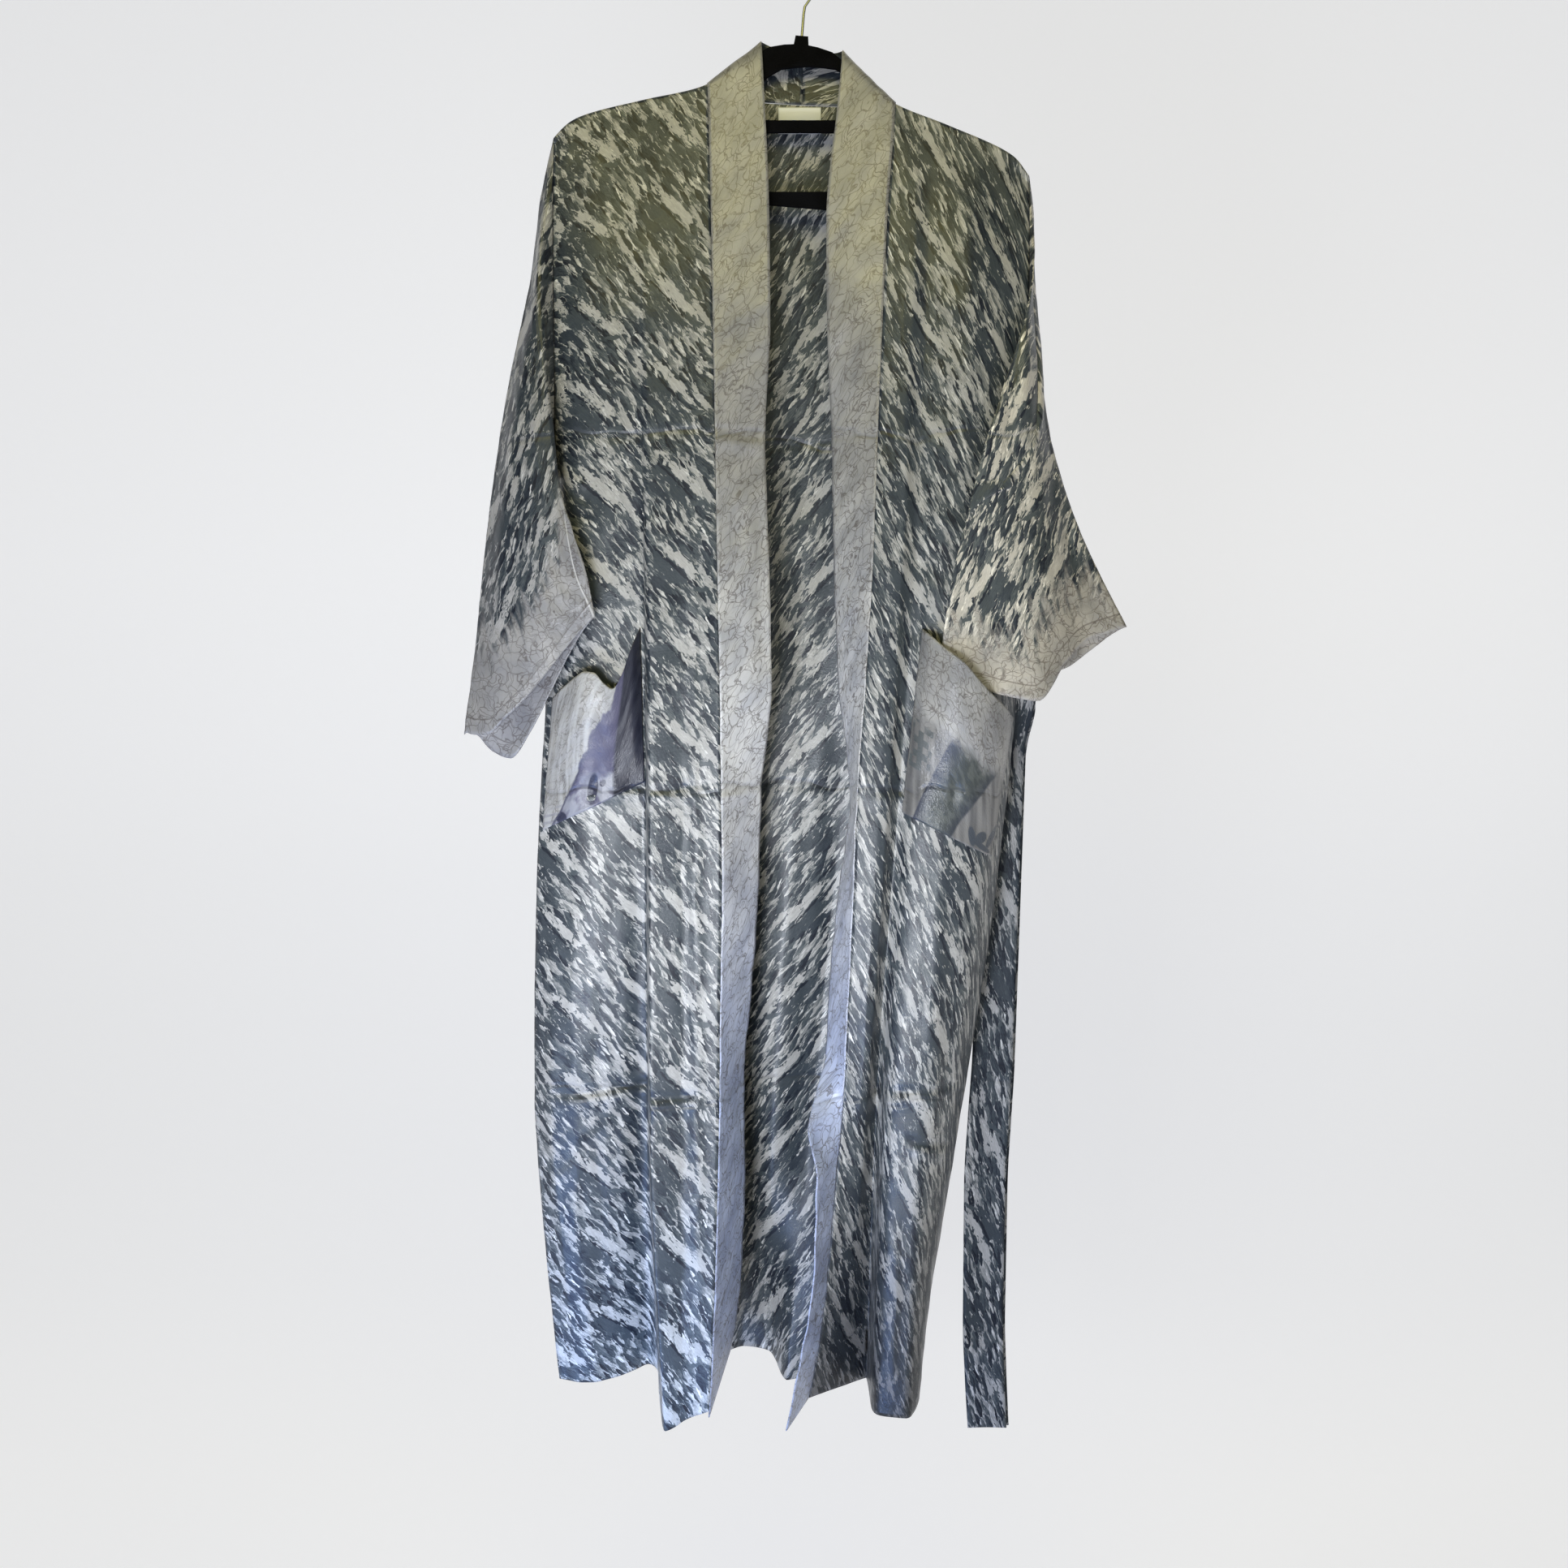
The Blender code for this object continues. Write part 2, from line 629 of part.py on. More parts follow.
def make_hanger(black, steel):
    """The slim hanger: one plate with its two windows, and its hook."""
    hang = bpy.data.objects.new("hanger_hang", None)
    bpy.context.scene.collection.objects.link(hang)
    hang.rotation_euler = (0, HANGER_TILT, 0)

    tip = HANGER_OUT
    half = [(0, COLLAR_TOP), (6, COLLAR_TOP), (7, -84.6)]
    half += arm_line(16, tip - 5, 0, 15)
    half += [(tip, arm_top(tip) - 4), (tip, arm_top(tip) - 11), (tip - 5, arm_top(tip) - 16)]
    half += [(tip - 18, -192), (tip - 32, -206), (tip - 46, -222), (tip - 60, -231), (tip - 72, TROUSER_BAR[1])]
    half += [(0, TROUSER_BAR[1])]
    body = plate_object("hanger_body", mirrored(half), HANGER_THICK, black)

    reach_top = find(lambda out: -(arm_top(out) - ARM_HEIGHT), -TIE_BAR[0], 20, 200)
    upper = [(0, arm_top(0) - ARM_HEIGHT)] + arm_line(14, reach_top, ARM_HEIGHT, 8) + [(0, TIE_BAR[0])]
    reach_low = find(lambda out: -(arm_top(out) - ARM_HEIGHT), -TIE_BAR[1], 20, 200)
    lower = [(0, TIE_BAR[1])] + arm_line(reach_low, 188, ARM_HEIGHT, 5)
    lower += [(180, -194), (164, -208), (150, -217), (138, TROUSER_BAR[0]), (0, TROUSER_BAR[0])]
    for name, outline in (("window_upper", upper), ("window_lower", lower)):
        cutter = plate_object(name, mirrored(outline), HANGER_THICK * 3)
        cut = body.modifiers.new(name, "BOOLEAN")
        cut.operation = "DIFFERENCE"
        cut.object = cutter
    body.parent = hang

    radius = HOOK_INSIDE + HOOK_ROD / 2
    centre_z = -HOOK_INSIDE
    route = [(0, COLLAR_TOP + 0.3), (0, -66), (0, -56), (0.6, -49)]
    route += [(radius * math.cos(a), centre_z + radius * math.sin(a)) for a in np.radians(np.arange(-62, 206, 14))]
    curve = bpy.data.curves.new("hanger_hook", "CURVE")
    curve.dimensions = "3D"
    curve.bevel_depth = HOOK_ROD / 2 * MM
    curve.bevel_resolution = 2
    curve.use_fill_caps = True
    line = curve.splines.new("POLY")
    line.points.add(len(route) - 1)
    for point, (x, z) in zip(line.points, route):
        point.co = (x * MM, 0, z * MM, 1)
    hook = add_object("hanger_hook", curve, steel)
    hook.parent = hang


def make_label(satin):
    """The blank neck label, hanging from the neckband's seam inside the back."""
    rows = [[(x, LABEL_Y, z) for x in np.linspace(*LABEL_X, 3)] for z in np.linspace(*LABEL_Z, 3)]
    cloth_object("neck_label", np.array(rows), satin, thick=1.0)


def main():
    """Build every piece."""
    for old in list(bpy.data.objects):
        bpy.data.objects.remove(old)

    printed = material("printed_satin", (0.33, 0.37, 0.38), 0.42)
    plain = material("crackle_satin", (0.5, 0.49, 0.47), 0.45)
    border = material("border_satin", (0.42, 0.42, 0.46), 0.42)
    satin = material("label_satin", (0.85, 0.83, 0.77), 0.4)
    black = material("flocked_black", (0.012, 0.012, 0.013), 0.9)
    steel = material("bright_steel", (0.75, 0.74, 0.7), 0.25, 1.0)

    front_left = Front(FRONT_LEFT, LEFT_SIDE, BAND_LEFT)
    front_right = Front(FRONT_RIGHT, RIGHT_SIDE, BAND_RIGHT)
    down = heights((4, 4, 3, 4, 3, 5))
    lengths("front_left", panel_rows(front_left, 15, down), PANEL_CUTS, printed)
    lengths("front_right", panel_rows(front_right, 15, down), PANEL_CUTS, printed)
    whole = panel_rows(Back(), 36, down)
    right_half = whole[:, BACK_CUT:].copy()
    right_half[:, 0] += NODE_GAP * unit(right_half[:, 1] - right_half[:, 0])
    lengths("back_left", whole[:, : BACK_CUT + 1], PANEL_CUTS, printed)
    lengths("back_right", right_half, PANEL_CUTS, printed)
    cloth_object("sleeve_left", sleeve_rows(SLEEVE_LEFT, LEFT_SIDE, 20, 2), printed, tube=True)
    cloth_object("sleeve_right", sleeve_rows(SLEEVE_RIGHT, RIGHT_SIDE, 20, 2), printed, tube=True)
    lengths("neckband_left", band_rows(BAND_LEFT, 2), BAND_LEFT_CUTS, plain)
    lengths("neckband_right", band_rows(BAND_RIGHT, 2), BAND_RIGHT_CUTS, plain)
    cloth_object("pocket_left", pocket_rows(front_left, POCKET_LEFT, 10, 8), border)
    cloth_object("pocket_right", pocket_rows(front_right, POCKET_RIGHT, 12, 8), border)
    cloth_object("belt", belt_rows(), printed, thick=BELT_CLOTH)
    cloth_object("belt_loop_left", loop_rows(LEFT_SIDE, 10), printed)
    cloth_object("belt_loop_right", loop_rows(RIGHT_SIDE, 10), printed)
    make_label(satin)
    make_hanger(black, steel)


main()
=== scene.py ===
"""Dressed model of an open kimono robe that hangs on a slim flocked hanger.

Metres, +Z up, X to the viewer's right, Y away from the viewer, who faces the robe's front. The origin
is the inside top of the hook. Left and right are the viewer's. Tables are in millimetres.
"""

import logging
import math
from collections.abc import Sequence
from dataclasses import dataclass, field
from enum import Enum
from typing import NamedTuple

import bmesh
import bpy
import numpy as np
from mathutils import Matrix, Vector


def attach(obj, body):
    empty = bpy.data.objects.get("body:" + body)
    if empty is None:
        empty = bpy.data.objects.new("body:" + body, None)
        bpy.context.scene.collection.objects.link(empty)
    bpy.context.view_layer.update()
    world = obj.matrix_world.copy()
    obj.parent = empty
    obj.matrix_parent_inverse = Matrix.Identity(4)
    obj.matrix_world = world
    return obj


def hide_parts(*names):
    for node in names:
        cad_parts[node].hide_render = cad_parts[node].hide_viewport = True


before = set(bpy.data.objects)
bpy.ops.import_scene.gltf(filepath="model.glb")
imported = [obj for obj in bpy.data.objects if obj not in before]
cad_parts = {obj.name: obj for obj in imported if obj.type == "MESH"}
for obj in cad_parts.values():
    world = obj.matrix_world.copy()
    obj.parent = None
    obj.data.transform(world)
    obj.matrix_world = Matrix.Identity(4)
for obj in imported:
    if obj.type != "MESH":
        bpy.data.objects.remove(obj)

# What a shader's input takes: another node's output, or a plain number or colour; and a ramp's stops
Socket = bpy.types.NodeSocket
Value = Socket | float
Paint = tuple[float, float, float, float]
Colour = Socket | Paint
Tones = tuple[tuple[float, tuple[float, ...]], ...]

log = logging.getLogger("robe")
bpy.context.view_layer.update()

MM = 0.001
TO_MM = 1000.0
MERGE = 0.00001
BODY = "root"
LENGTHS = ("upper", "middle", "lower")
CLOTH = 1.2
SEAM = 0.2
SIDE_SEAM = 0.3
HANGER_TILT = math.radians(4.6)
CLEAR = 2.4
COLLAR_TOP = -76.5
COLLAR_LOW = -150.0
HOOK_ROD = 2.6
HOOK_INSIDE = 18.0

# Heights that the folds are given at
TOP, CHEST, UNDERARM, WAIST, THIGH, KNEE, HEM = -165, -340, -487, -640, -900, -1100, -1391


class Arm(NamedTuple):
    """A place on the top line of the hanger's arm: how far out and how high."""

    out: float
    top: float


class Side(NamedTuple):
    """A place on a side seam."""

    z: float
    x: float
    y: float


class Fold(NamedTuple):
    """A crest or valley of a panel: where it passes each height and how far back it lies."""

    name: str
    x_top: float
    x_waist: float
    x_knee: float
    x_hem: float
    y_chest: float
    y_waist: float
    y_thigh: float
    y_knee: float
    y_hem: float
    drop: float


class Band(NamedTuple):
    """A section of a neckband half: its seam edge and its free edge."""

    name: str
    sx: float
    sy: float
    sz: float
    fx: float
    fy: float
    fz: float


class Ring(NamedTuple):
    """A ring of a sleeve: its outer and inner edge and how its two layers stand between them."""

    name: str
    ox: float
    oy: float
    oz: float
    ix: float
    iy: float
    iz: float
    front: float
    back: float
    lean_front: float
    lean_back: float
    step: float
    bend: float
    sag_front: float
    sag_back: float


class PatchCut(NamedTuple):
    """A patch pocket: its corners as x and z on the panel, and how its mouth hangs."""

    inner_top: tuple[float, float]
    outer_top: tuple[float, float]
    inner_foot: tuple[float, float]
    outer_foot: tuple[float, float]
    stand_off: float
    sag: float
    sag_at: float
    sag_wide: float
    bow: float


class Tail(NamedTuple):
    """A height of the doubled belt: its edges and the depth of its two tails."""

    z: float
    left: float
    right: float
    y_front: float
    y_back: float


class Crease(NamedTuple):
    """A soft line pressed into a cloth, from one x and z to another; a trough where depth is below 0."""

    x0: float
    z0: float
    x1: float
    z1: float
    depth: float
    width: float


class Waves(NamedTuple):
    """Unevenness of a cloth, in millimetres: how far it stands off, its shortest and longest wave."""

    depth: float
    low: float = 16.0
    high: float = 70.0


class Hem(NamedTuple):
    """A stitched hem, in millimetres: how far up its stitches run, and how high it puckers."""

    width: float
    pucker: float


ARM = (
    Arm(0, -84.5),
    Arm(23, -86.5),
    Arm(37, -93.5),
    Arm(60, -112),
    Arm(90, -132.5),
    Arm(145, -149.5),
    Arm(200, -168),
    Arm(214, -176.5),
    Arm(228, -193),
)
CROWN = ((0.35, 0.0), (2.7, -0.3), (4.6, -2.6))
BESIDE_ARM = 4.9
BELOW_RIDGE = 7
# Where the back starts at the neckband's seam: how far behind it on the crown and below, and how much lower
NECK_CROWN, NECK_BEHIND, NECK_BELOW = 0.9, 1.0, 8.0
LEFT_SIDE = (
    Side(-150, -241, 0),
    Side(CHEST, -241, -1),
    Side(UNDERARM, -243, -2),
    Side(WAIST, -251, 0),
    Side(THIGH, -267, 1),
    Side(KNEE, -271.5, 5),
    Side(-1240, -264, 8),
    Side(HEM - 20, -249, 10),
)
RIGHT_SIDE = (
    Side(-180, 209.5, 0),
    Side(CHEST, 209, 0),
    Side(UNDERARM, 208, 0),
    Side(WAIST, 206, 0),
    Side(THIGH, 184, 0),
    Side(KNEE, 155, 1),
    Side(-1240, 134, 6),
    Side(HEM - 20, 107, 14),
)
ARMHOLE_DEPTH = 16.0

FRONT_LEFT = (
    Fold("side roll", -222, -232, -247, -222, -26, -20, -16, -12, 4, 2),
    Fold("side panel", -195, -203, -209, -190, -33, -29, -25, -14, 16, 0),
    Fold("valley", -164, -159, -160, -157, -36, -30, -18, 0, 38, -4),
    Fold("sharp ridge", -149, -150, -151, -138, -38, -43, -54, -62, -76, 15),
    Fold("soft valley", -118, -112, -116, -116, -33, -40, -50, -56, -68, 6),
)
FRONT_RIGHT = (
    Fold("inner roll", 100, 80, 53, 29, -33, -46, -50, -42, -20, -3),
    Fold("valley", 118, 97, 68, 60, -29, -37, -34, -18, 2, -4),
    Fold("ridge in", 134, 116, 79, 64, -34, -42, -48, -50, -60, 4),
    Fold("ridge out", 152, 142, 108, 96, -36, -45, -52, -56, -70, 5),
    Fold("side roll", 178, 180, 138, 112, -27, -37, -37, -32, -22, 0),
)
BACK = (
    Fold("left roll", -212, -214, -232, -208, 24, 28, 32, 36, 42, 0),
    Fold("left blade", -157, -165, -180, -160, 31, 38, 46, 52, 60, -2),
    Fold("left neck", -102, -116, -134, -120, 34, 42, 39, 38, 48, -2),
    Fold("left collar", -93.9, -98, -116, -102, 35, 42, 38, 36, 50, -2),
    Fold("left centre", -50, -54, -72, -66, 33, 37, 50, 58, 76, -6),
    Fold("centre", -5, -6, -32, -38, 34, 46, 37, 36, 68, -4),
    Fold("right centre", 40, 42, 8, -20, 33, 37, 48, 50, 24, 8),
    Fold("right collar", 81.1, 77, 38, 2, 35, 45, 37, 35, 27, 4),
    Fold("right neck", 89, 97, 54, 16, 34, 45, 36, 34, 30, 3),
    Fold("right blade", 132, 130, 84, 44, 31, 38, 45, 46, 52, -2),
    Fold("right roll", 178, 175, 122, 80, 23, 24, 28, 30, 42, 0),
)
BAND_LEFT = (
    Band("hem", -96, -66, -1397, -77, -14, -1352),
    Band("above hem", -91, -64, -1300, -68, -13, -1296),
    Band("shin", -87, -59, -1174, -62, -10, -1174),
    Band("knee", -85, -56, -1080, -63, -6, -1080),
    Band("thigh", -84, -53, -984, -55, -8, -984),
    Band("hip", -82, -50, -880, -48, -8, -880),
    Band("crease", -83, -49, -786, -45, -14, -786),
    Band("waist", -84, -48, -690, -35, -27, -690),
    Band("rib", -86, -44, -580, -37, -25, -580),
    Band("dimple", -88, -38, -450, -41, -17, -450),
    Band("chest", -90, -30, -345, -36, -20, -345),
    Band("upper chest", -92, -19, -238, -37, -13, -238),
    Band("collar", -94, -9, -162, -41, -9, -144),
    Band("arm front", -95.2, -4.8, -122.3, -43.8, -5, -90),
    Band("shoulder", -95.5, 0, -119.6, -45, 0, -81),
    Band("arm back", -93.4, 4.8, -120.4, -44.5, 5.4, -78.8),
    Band("neck side", -84, 10.5, -127, -42, 10.5, -79),
    Band("nape side", -58, 15, -131, -33, 16, -81),
    Band("nape", -5, 17, -134, -5, 18, -85),
)
BAND_RIGHT = (
    Band("tip", 1, -36, -1391, -21, -80, -1404),
    Band("low", 12, -40, -1330, -6, -71, -1331),
    Band("shin", 21, -44, -1245, 6, -76, -1245),
    Band("below kink", 28, -45, -1160, 8, -78, -1152),
    Band("kink", 33.5, -45, -1104, 0, -62, -1112),
    Band("above kink", 36, -45, -1058, 18, -12, -1052),
    Band("thigh", 39, -45, -990, 22, 4, -990),
    Band("hip", 43, -46, -900, 30, 6, -900),
    Band("pinch", 46.5, -48, -797, 42.5, 4, -797),
    Band("waist", 54, -47, -690, 31, -2, -695),
    Band("rib", 61, -43, -570, 25.5, -3, -570),
    Band("crease", 65.5, -36, -450, 23, -4, -450),
    Band("chest", 70, -28, -340, 18, -14, -345),
    Band("upper chest", 75, -17, -238, 17, -13, -245),
    Band("collar", 80, -9, -174, 26, -9, -154),
    Band("arm front", 82.2, -4.8, -139.8, 31.5, -5, -98),
    Band("shoulder", 82.5, 0, -137.1, 32, 0, -89.5),
    Band("arm back", 80.6, 4.8, -137.8, 32.5, 5.4, -87.3),
    Band("neck side", 73, 10.5, -139.5, 30, 10.5, -87),
    Band("nape side", 50, 15, -137, 22, 16, -86.5),
    Band("nape", -5, 17, -134, -5, 18, -85),
)
SLEEVE_LEFT = (
    Ring("shoulder", -254, -3, -226, -247, -22, -493, 18, 14, 4, -3, 0, 0, 0, 0),
    Ring("upper", -264, -5, -300, -238, -42, -504, 19, 8, 6, -5, 0, 0, 0, 0),
    Ring("middle", -283, -7, -385, -228, -51, -522, 19, 6, 4, -4, 0, 0, 0, 0),
    Ring("elbow", -298, -9, -468, -220, -55, -545, 19, 5, 3, 0, 0, 0, 2, 2),
    Ring("lower", -311, -10, -560, -210, -57, -575, 19, 5, 0, 0, 0, 0, 5, 10),
    Ring("border", -321, -12, -650, -204, -57, -602, 19, 5, 0, 0, 0, 0, 12, 35),
    Ring("cuff", -333, -14, -735, -201, -56, -622, 18, 6, 0, 0, 0, 0, 22, 62),
)
SLEEVE_RIGHT = (
    Ring("shoulder", 215, -1, -250, 205, -32, -496, 16, 10, -8, 16, 0, 2, 0, 0),
    Ring("upper", 215, -3, -305, 178, -52, -505, 14, 8, -16, 28, 0, 8, 0, 0),
    Ring("middle", 221, -4, -368, 154, -56, -522, 12, 5, -12, 20, 0, 14, 0, 0),
    Ring("elbow", 232, -3, -446, 140, -57, -562, 10, 3, -6, 10, 0, 12, 4, 2),
    Ring("lower", 264, 6, -538, 129, -58, -622, 8, 2, -2, 4, 0.12, 16, 18, 8),
    Ring("cuff", 314, 20, -631, 121, -57, -690, 5, 1, 0, 0, 0.27, 27, 44, 20),
)
# Half the thickness of a flattened sleeve, and what brings s * s * (1 - s) to 1 where it is highest
TUBE_HALF = 3.4
PEAK = 27 / 4
POCKET_LEFT = PatchCut((-160, -632), (-246, -700), (-158, -780), (-258, -829), 17, 44, 0.26, 0.2, 2)
POCKET_RIGHT = PatchCut((109, -633), (198, -719), (91, -808), (176, -852), 22, -4, 0.4, 0.16, 0)
TAILS = (
    Tail(-663, 209.6, 216.4, -5.8, 5.8),
    Tail(-682, 208, 219, 0, 9),
    Tail(-712, 199, 222, 12, 19),
    Tail(-760, 177, 215, 27, 33),
    Tail(-900, 173, 211, 29, 35),
    Tail(-1067, 167, 208, 29, 35),
    Tail(-1200, 160, 202, 29, 35),
    Tail(-1330, 160, 201, 29, 35),
    Tail(-1452, 166, 206, 29, 35),
)
BELT_SADDLE_Z = -652.5
LOOP_HALF, LOOP_OUT, LOOP_Z, LOOP_WIDTH = 29.0, 19.0, -632.0, 6.0
LABEL_X, LABEL_Z, LABEL_Y = (-28.5, 12.5), (-136.5, -161.0), 15.7

# Lines pressed or hung into the cloths: long folds from storage run across, drape lines run down
CREASES_LEFT = (
    Crease(-260, -791, -84, -782, -2.6, 3),
    Crease(-262, -797, -90, -789, 1.6, 6),
    Crease(-268, -1092, -88, -1078, -3.0, 3.4),
    Crease(-268, -1101, -88, -1087, 2.0, 7),
    Crease(-157, -540, -156, -1390, -3.2, 4),
    Crease(-238, -455, -90, -446, -0.8, 4),
    Crease(-108, -470, -106, -1350, 1.6, 5),
    Crease(-118, -700, -121, -1370, -1.4, 5),
    Crease(-185, -300, -190, -620, 1.2, 8),
    Crease(-176, -860, -182, -1380, 1.8, 8),
    Crease(-205, -900, -206, -1390, -1.8, 8),
    Crease(-228, -880, -232, -1300, 1.6, 7),
    Crease(-238, -500, -205, -516, -1.8, 3),
    Crease(-239, -522, -208, -532, -1.6, 3),
    Crease(-240, -543, -206, -548, -1.5, 3.2),
    Crease(-236, -484, -208, -500, 1.4, 3),
    Crease(-240, -570, -210, -585, -1.4, 4),
    Crease(-244, -606, -216, -612, 1.2, 4),
    Crease(-230, -1140, -150, -1060, 1.6, 7),
    Crease(-262, -1180, -200, -1120, -1.4, 7),
)
CREASES_RIGHT = (
    Crease(50, -788, 180, -792, -2.2, 3),
    Crease(48, -795, 182, -799, 1.4, 6),
    Crease(36, -1085, 160, -1072, -2.2, 3.4),
    Crease(36, -1094, 160, -1081, 1.5, 6),
    Crease(92, -1120, 150, -1142, -3.2, 4),
    Crease(96, -1130, 148, -1152, 2.2, 6),
    Crease(90, -300, 92, -620, 1.5, 5),
    Crease(108, -380, 104, -700, -1.4, 5),
    Crease(126, -420, 122, -640, 1.2, 6),
    Crease(126, -830, 118, -1180, 1.6, 7),
    Crease(140, -870, 130, -1200, -1.4, 7),
    Crease(60, -860, 52, -1300, 1.4, 5),
    Crease(84, -1180, 82, -1380, 1.5, 5),
)
CREASES_BACK = (
    Crease(-262, -790, 190, -786, 1.2, 4),
    Crease(-266, -1094, 160, -1084, 1.4, 4),
    Crease(-240, -452, 208, -452, 0.8, 4),
    Crease(-30, -500, -38, -1200, 1.6, 9),
    Crease(16, -560, 4, -1250, -1.6, 9),
    Crease(-140, -420, -150, -1000, -1.4, 9),
    Crease(120, -420, 100, -1000, -1.4, 9),
    Crease(-190, -500, -204, -1200, 1.4, 10),
)
CREASES_BANDS = (
    Crease(-98, -446, -34, -450, -2.6, 4),
    Crease(-98, -455, -34, -461, 1.8, 7),
    Crease(-96, -786, -34, -785, -2.4, 2.6),
    Crease(-96, -792, -34, -792, 1.4, 5),
    Crease(-98, -1082, -52, -1074, -2.2, 3),
    Crease(-98, -1090, -52, -1082, 1.4, 5),
    Crease(10, -446, 80, -452, -1.2, 4),
    Crease(24, -786, 60, -792, -2.0, 3),
    Crease(-60, -470, -52, -760, 1.4, 8),
    Crease(-46, -500, -42, -700, -1.2, 6),
    Crease(-76, -820, -72, -1060, 1.2, 8),
)
CREASES_SLEEVE_LEFT = (
    Crease(-243, -470, -262, -560, -1.5, 4),
    Crease(-236, -490, -246, -600, 1.5, 4),
    Crease(-232, -500, -226, -560, -1.6, 3),
    Crease(-258, -330, -292, -480, -1.3, 7),
    Crease(-262, -300, -280, -420, 1.3, 6),
    Crease(-290, -520, -310, -680, -1.4, 7),
    Crease(-252, -560, -262, -650, 1.2, 6),
)
CREASES_SLEEVE_RIGHT = (
    Crease(250, -500, 256, -640, -2.0, 5),
    Crease(238, -470, 244, -620, 1.6, 6),
    Crease(202, -300, 178, -470, -1.5, 7),
    Crease(212, -320, 196, -480, 1.5, 6),
    Crease(206, -420, 186, -560, -1.3, 7),
    Crease(226, -420, 262, -560, 1.3, 7),
    Crease(160, -540, 176, -640, -1.2, 7),
)


def ease(knots: Sequence[float], values: Sequence, at: np.ndarray | float) -> np.ndarray:
    """Smooth curve through a table that never swings past its rows.

    Args:
        knots: rising places of the rows.
        values: one row, or number, for each knot.
        at: a place or an array of places.

    Returns:
        The values there, with at's shape first.
    """
    knots = np.asarray(knots, dtype=float)
    values = np.asarray(values, dtype=float)
    at = np.clip(np.asarray(at, dtype=float), knots[0], knots[-1])
    tail = (1,) * (values.ndim - 1)
    rate = np.diff(values, axis=0) / np.diff(knots).reshape((-1, *tail))
    product, total = rate[:-1] * rate[1:], rate[:-1] + rate[1:]
    slope = np.zeros_like(values)
    slope[1:-1] = np.where(product > 0, 2 * product / np.where(total == 0, 1, total), 0)
    slope[0], slope[-1] = rate[0], rate[-1]
    i = np.clip(np.searchsorted(knots, at) - 1, 0, len(knots) - 2)
    width = (knots[i + 1] - knots[i]).reshape(at.shape + tail)
    t = (at - knots[i]).reshape(at.shape + tail) / width
    return (
        values[i] * (1 + 2 * t) * (1 - t) ** 2
        + values[i + 1] * t * t * (3 - 2 * t)
        + slope[i] * width * t * (1 - t) ** 2
        - slope[i + 1] * width * t * t * (1 - t)
    )


def smooth(t: np.ndarray | float) -> np.ndarray:
    """0 to 1 with level ends."""
    t = np.clip(t, 0.0, 1.0)
    return t * t * (3 - 2 * t)


def near_top(z: np.ndarray) -> np.ndarray:
    """1 at the top of a panel, fading to 0 at the chest."""
    return smooth((z - CHEST) / (TOP - CHEST))


def tilted(x: float, z: float) -> tuple[float, float]:
    """Turns a point of the upright hanger to how it hangs.

    Args:
        x: across the hanger.
        z: its height.

    Returns:
        World x and z.
    """
    c, s = math.cos(HANGER_TILT), math.sin(HANGER_TILT)
    return x * c + z * s, z * c - x * s


def arm_top(out: float) -> float:
    """Height of the arm's top edge in the upright hanger."""
    return float(ease([a.out for a in ARM], [a.top for a in ARM], abs(out)))


def ridge(x: float) -> float:
    """Height of the cloth's shoulder fold.

    Args:
        x: world x.

    Returns:
        World z.
    """
    out = x
    for _ in range(12):
        found, _ = tilted(out, arm_top(out))
        out += x - found
    return tilted(out, arm_top(out))[1] + CLEAR


def side_point(table: Sequence[Side], z: np.ndarray, layer: int) -> np.ndarray:
    """Edge of a front or back panel at the side seam and armhole.

    Args:
        table: the side seam.
        z: heights.
        layer: -1 for the front, 1 for the back, 0 for the seam line itself.

    Returns:
        A point for each height.
    """
    z = np.asarray(z, dtype=float)
    xy = ease([-s.z for s in table], [(s.x, s.y) for s in table], -z)
    top = ridge(table[0].x)
    share = np.clip((top - z) / (top - UNDERARM), 0.0, 1.0)
    lens = ARMHOLE_DEPTH * np.sin(math.pi * share) ** 0.75
    return np.stack([xy[..., 0], xy[..., 1] + layer * (SIDE_SEAM + lens), z], axis=-1)


class Neckband:
    """The curves of one half of the neckband."""

    def __init__(self, table: Sequence[Band]) -> None:
        """Keeps the table and a dense copy of its seam edge.

        Args:
            table: its sections, from the hem to the nape.
        """
        self.table = table
        names = [b.name for b in table]
        self.shoulder = names.index("shoulder") / (len(table) - 1)
        self.shares = np.linspace(0, 1, 6000)
        self.dense = self.curve(self.shares)

    def curve(self, t: np.ndarray | float, free: bool = False) -> np.ndarray:
        """An edge of the band.

        Args:
            t: share of its length, from 0 at the hem to 1 at the centre of the back.
            free: whether the free edge is wanted, not the seam.

        Returns:
            A point for each share.
        """
        rows = [(b.fx, b.fy, b.fz) if free else (b.sx, b.sy, b.sz) for b in self.table]
        return ease(range(len(rows)), rows, np.asarray(t) * (len(rows) - 1))

    def seam_at(self, z: np.ndarray) -> np.ndarray:
        """Seam edge at heights below the shoulder."""
        low = self.shares <= self.shoulder
        return self.curve(np.interp(z, self.dense[low, 2], self.shares[low]))

    def neck_at(self, x: float) -> np.ndarray:
        """Seam edge behind the neck.

        Args:
            x: world x.

        Returns:
            The point.
        """
        high = self.shares >= self.shoulder
        xs, shares = self.dense[high, 0], self.shares[high]
        order = np.argsort(xs)
        return self.curve(float(np.interp(x, xs[order], shares[order])))


LEFT_BAND, RIGHT_BAND = Neckband(BAND_LEFT), Neckband(BAND_RIGHT)


def band_at(table: Sequence[Band], name: str) -> Band:
    """A named section of a neckband half."""
    return next(b for b in table if b.name == name)


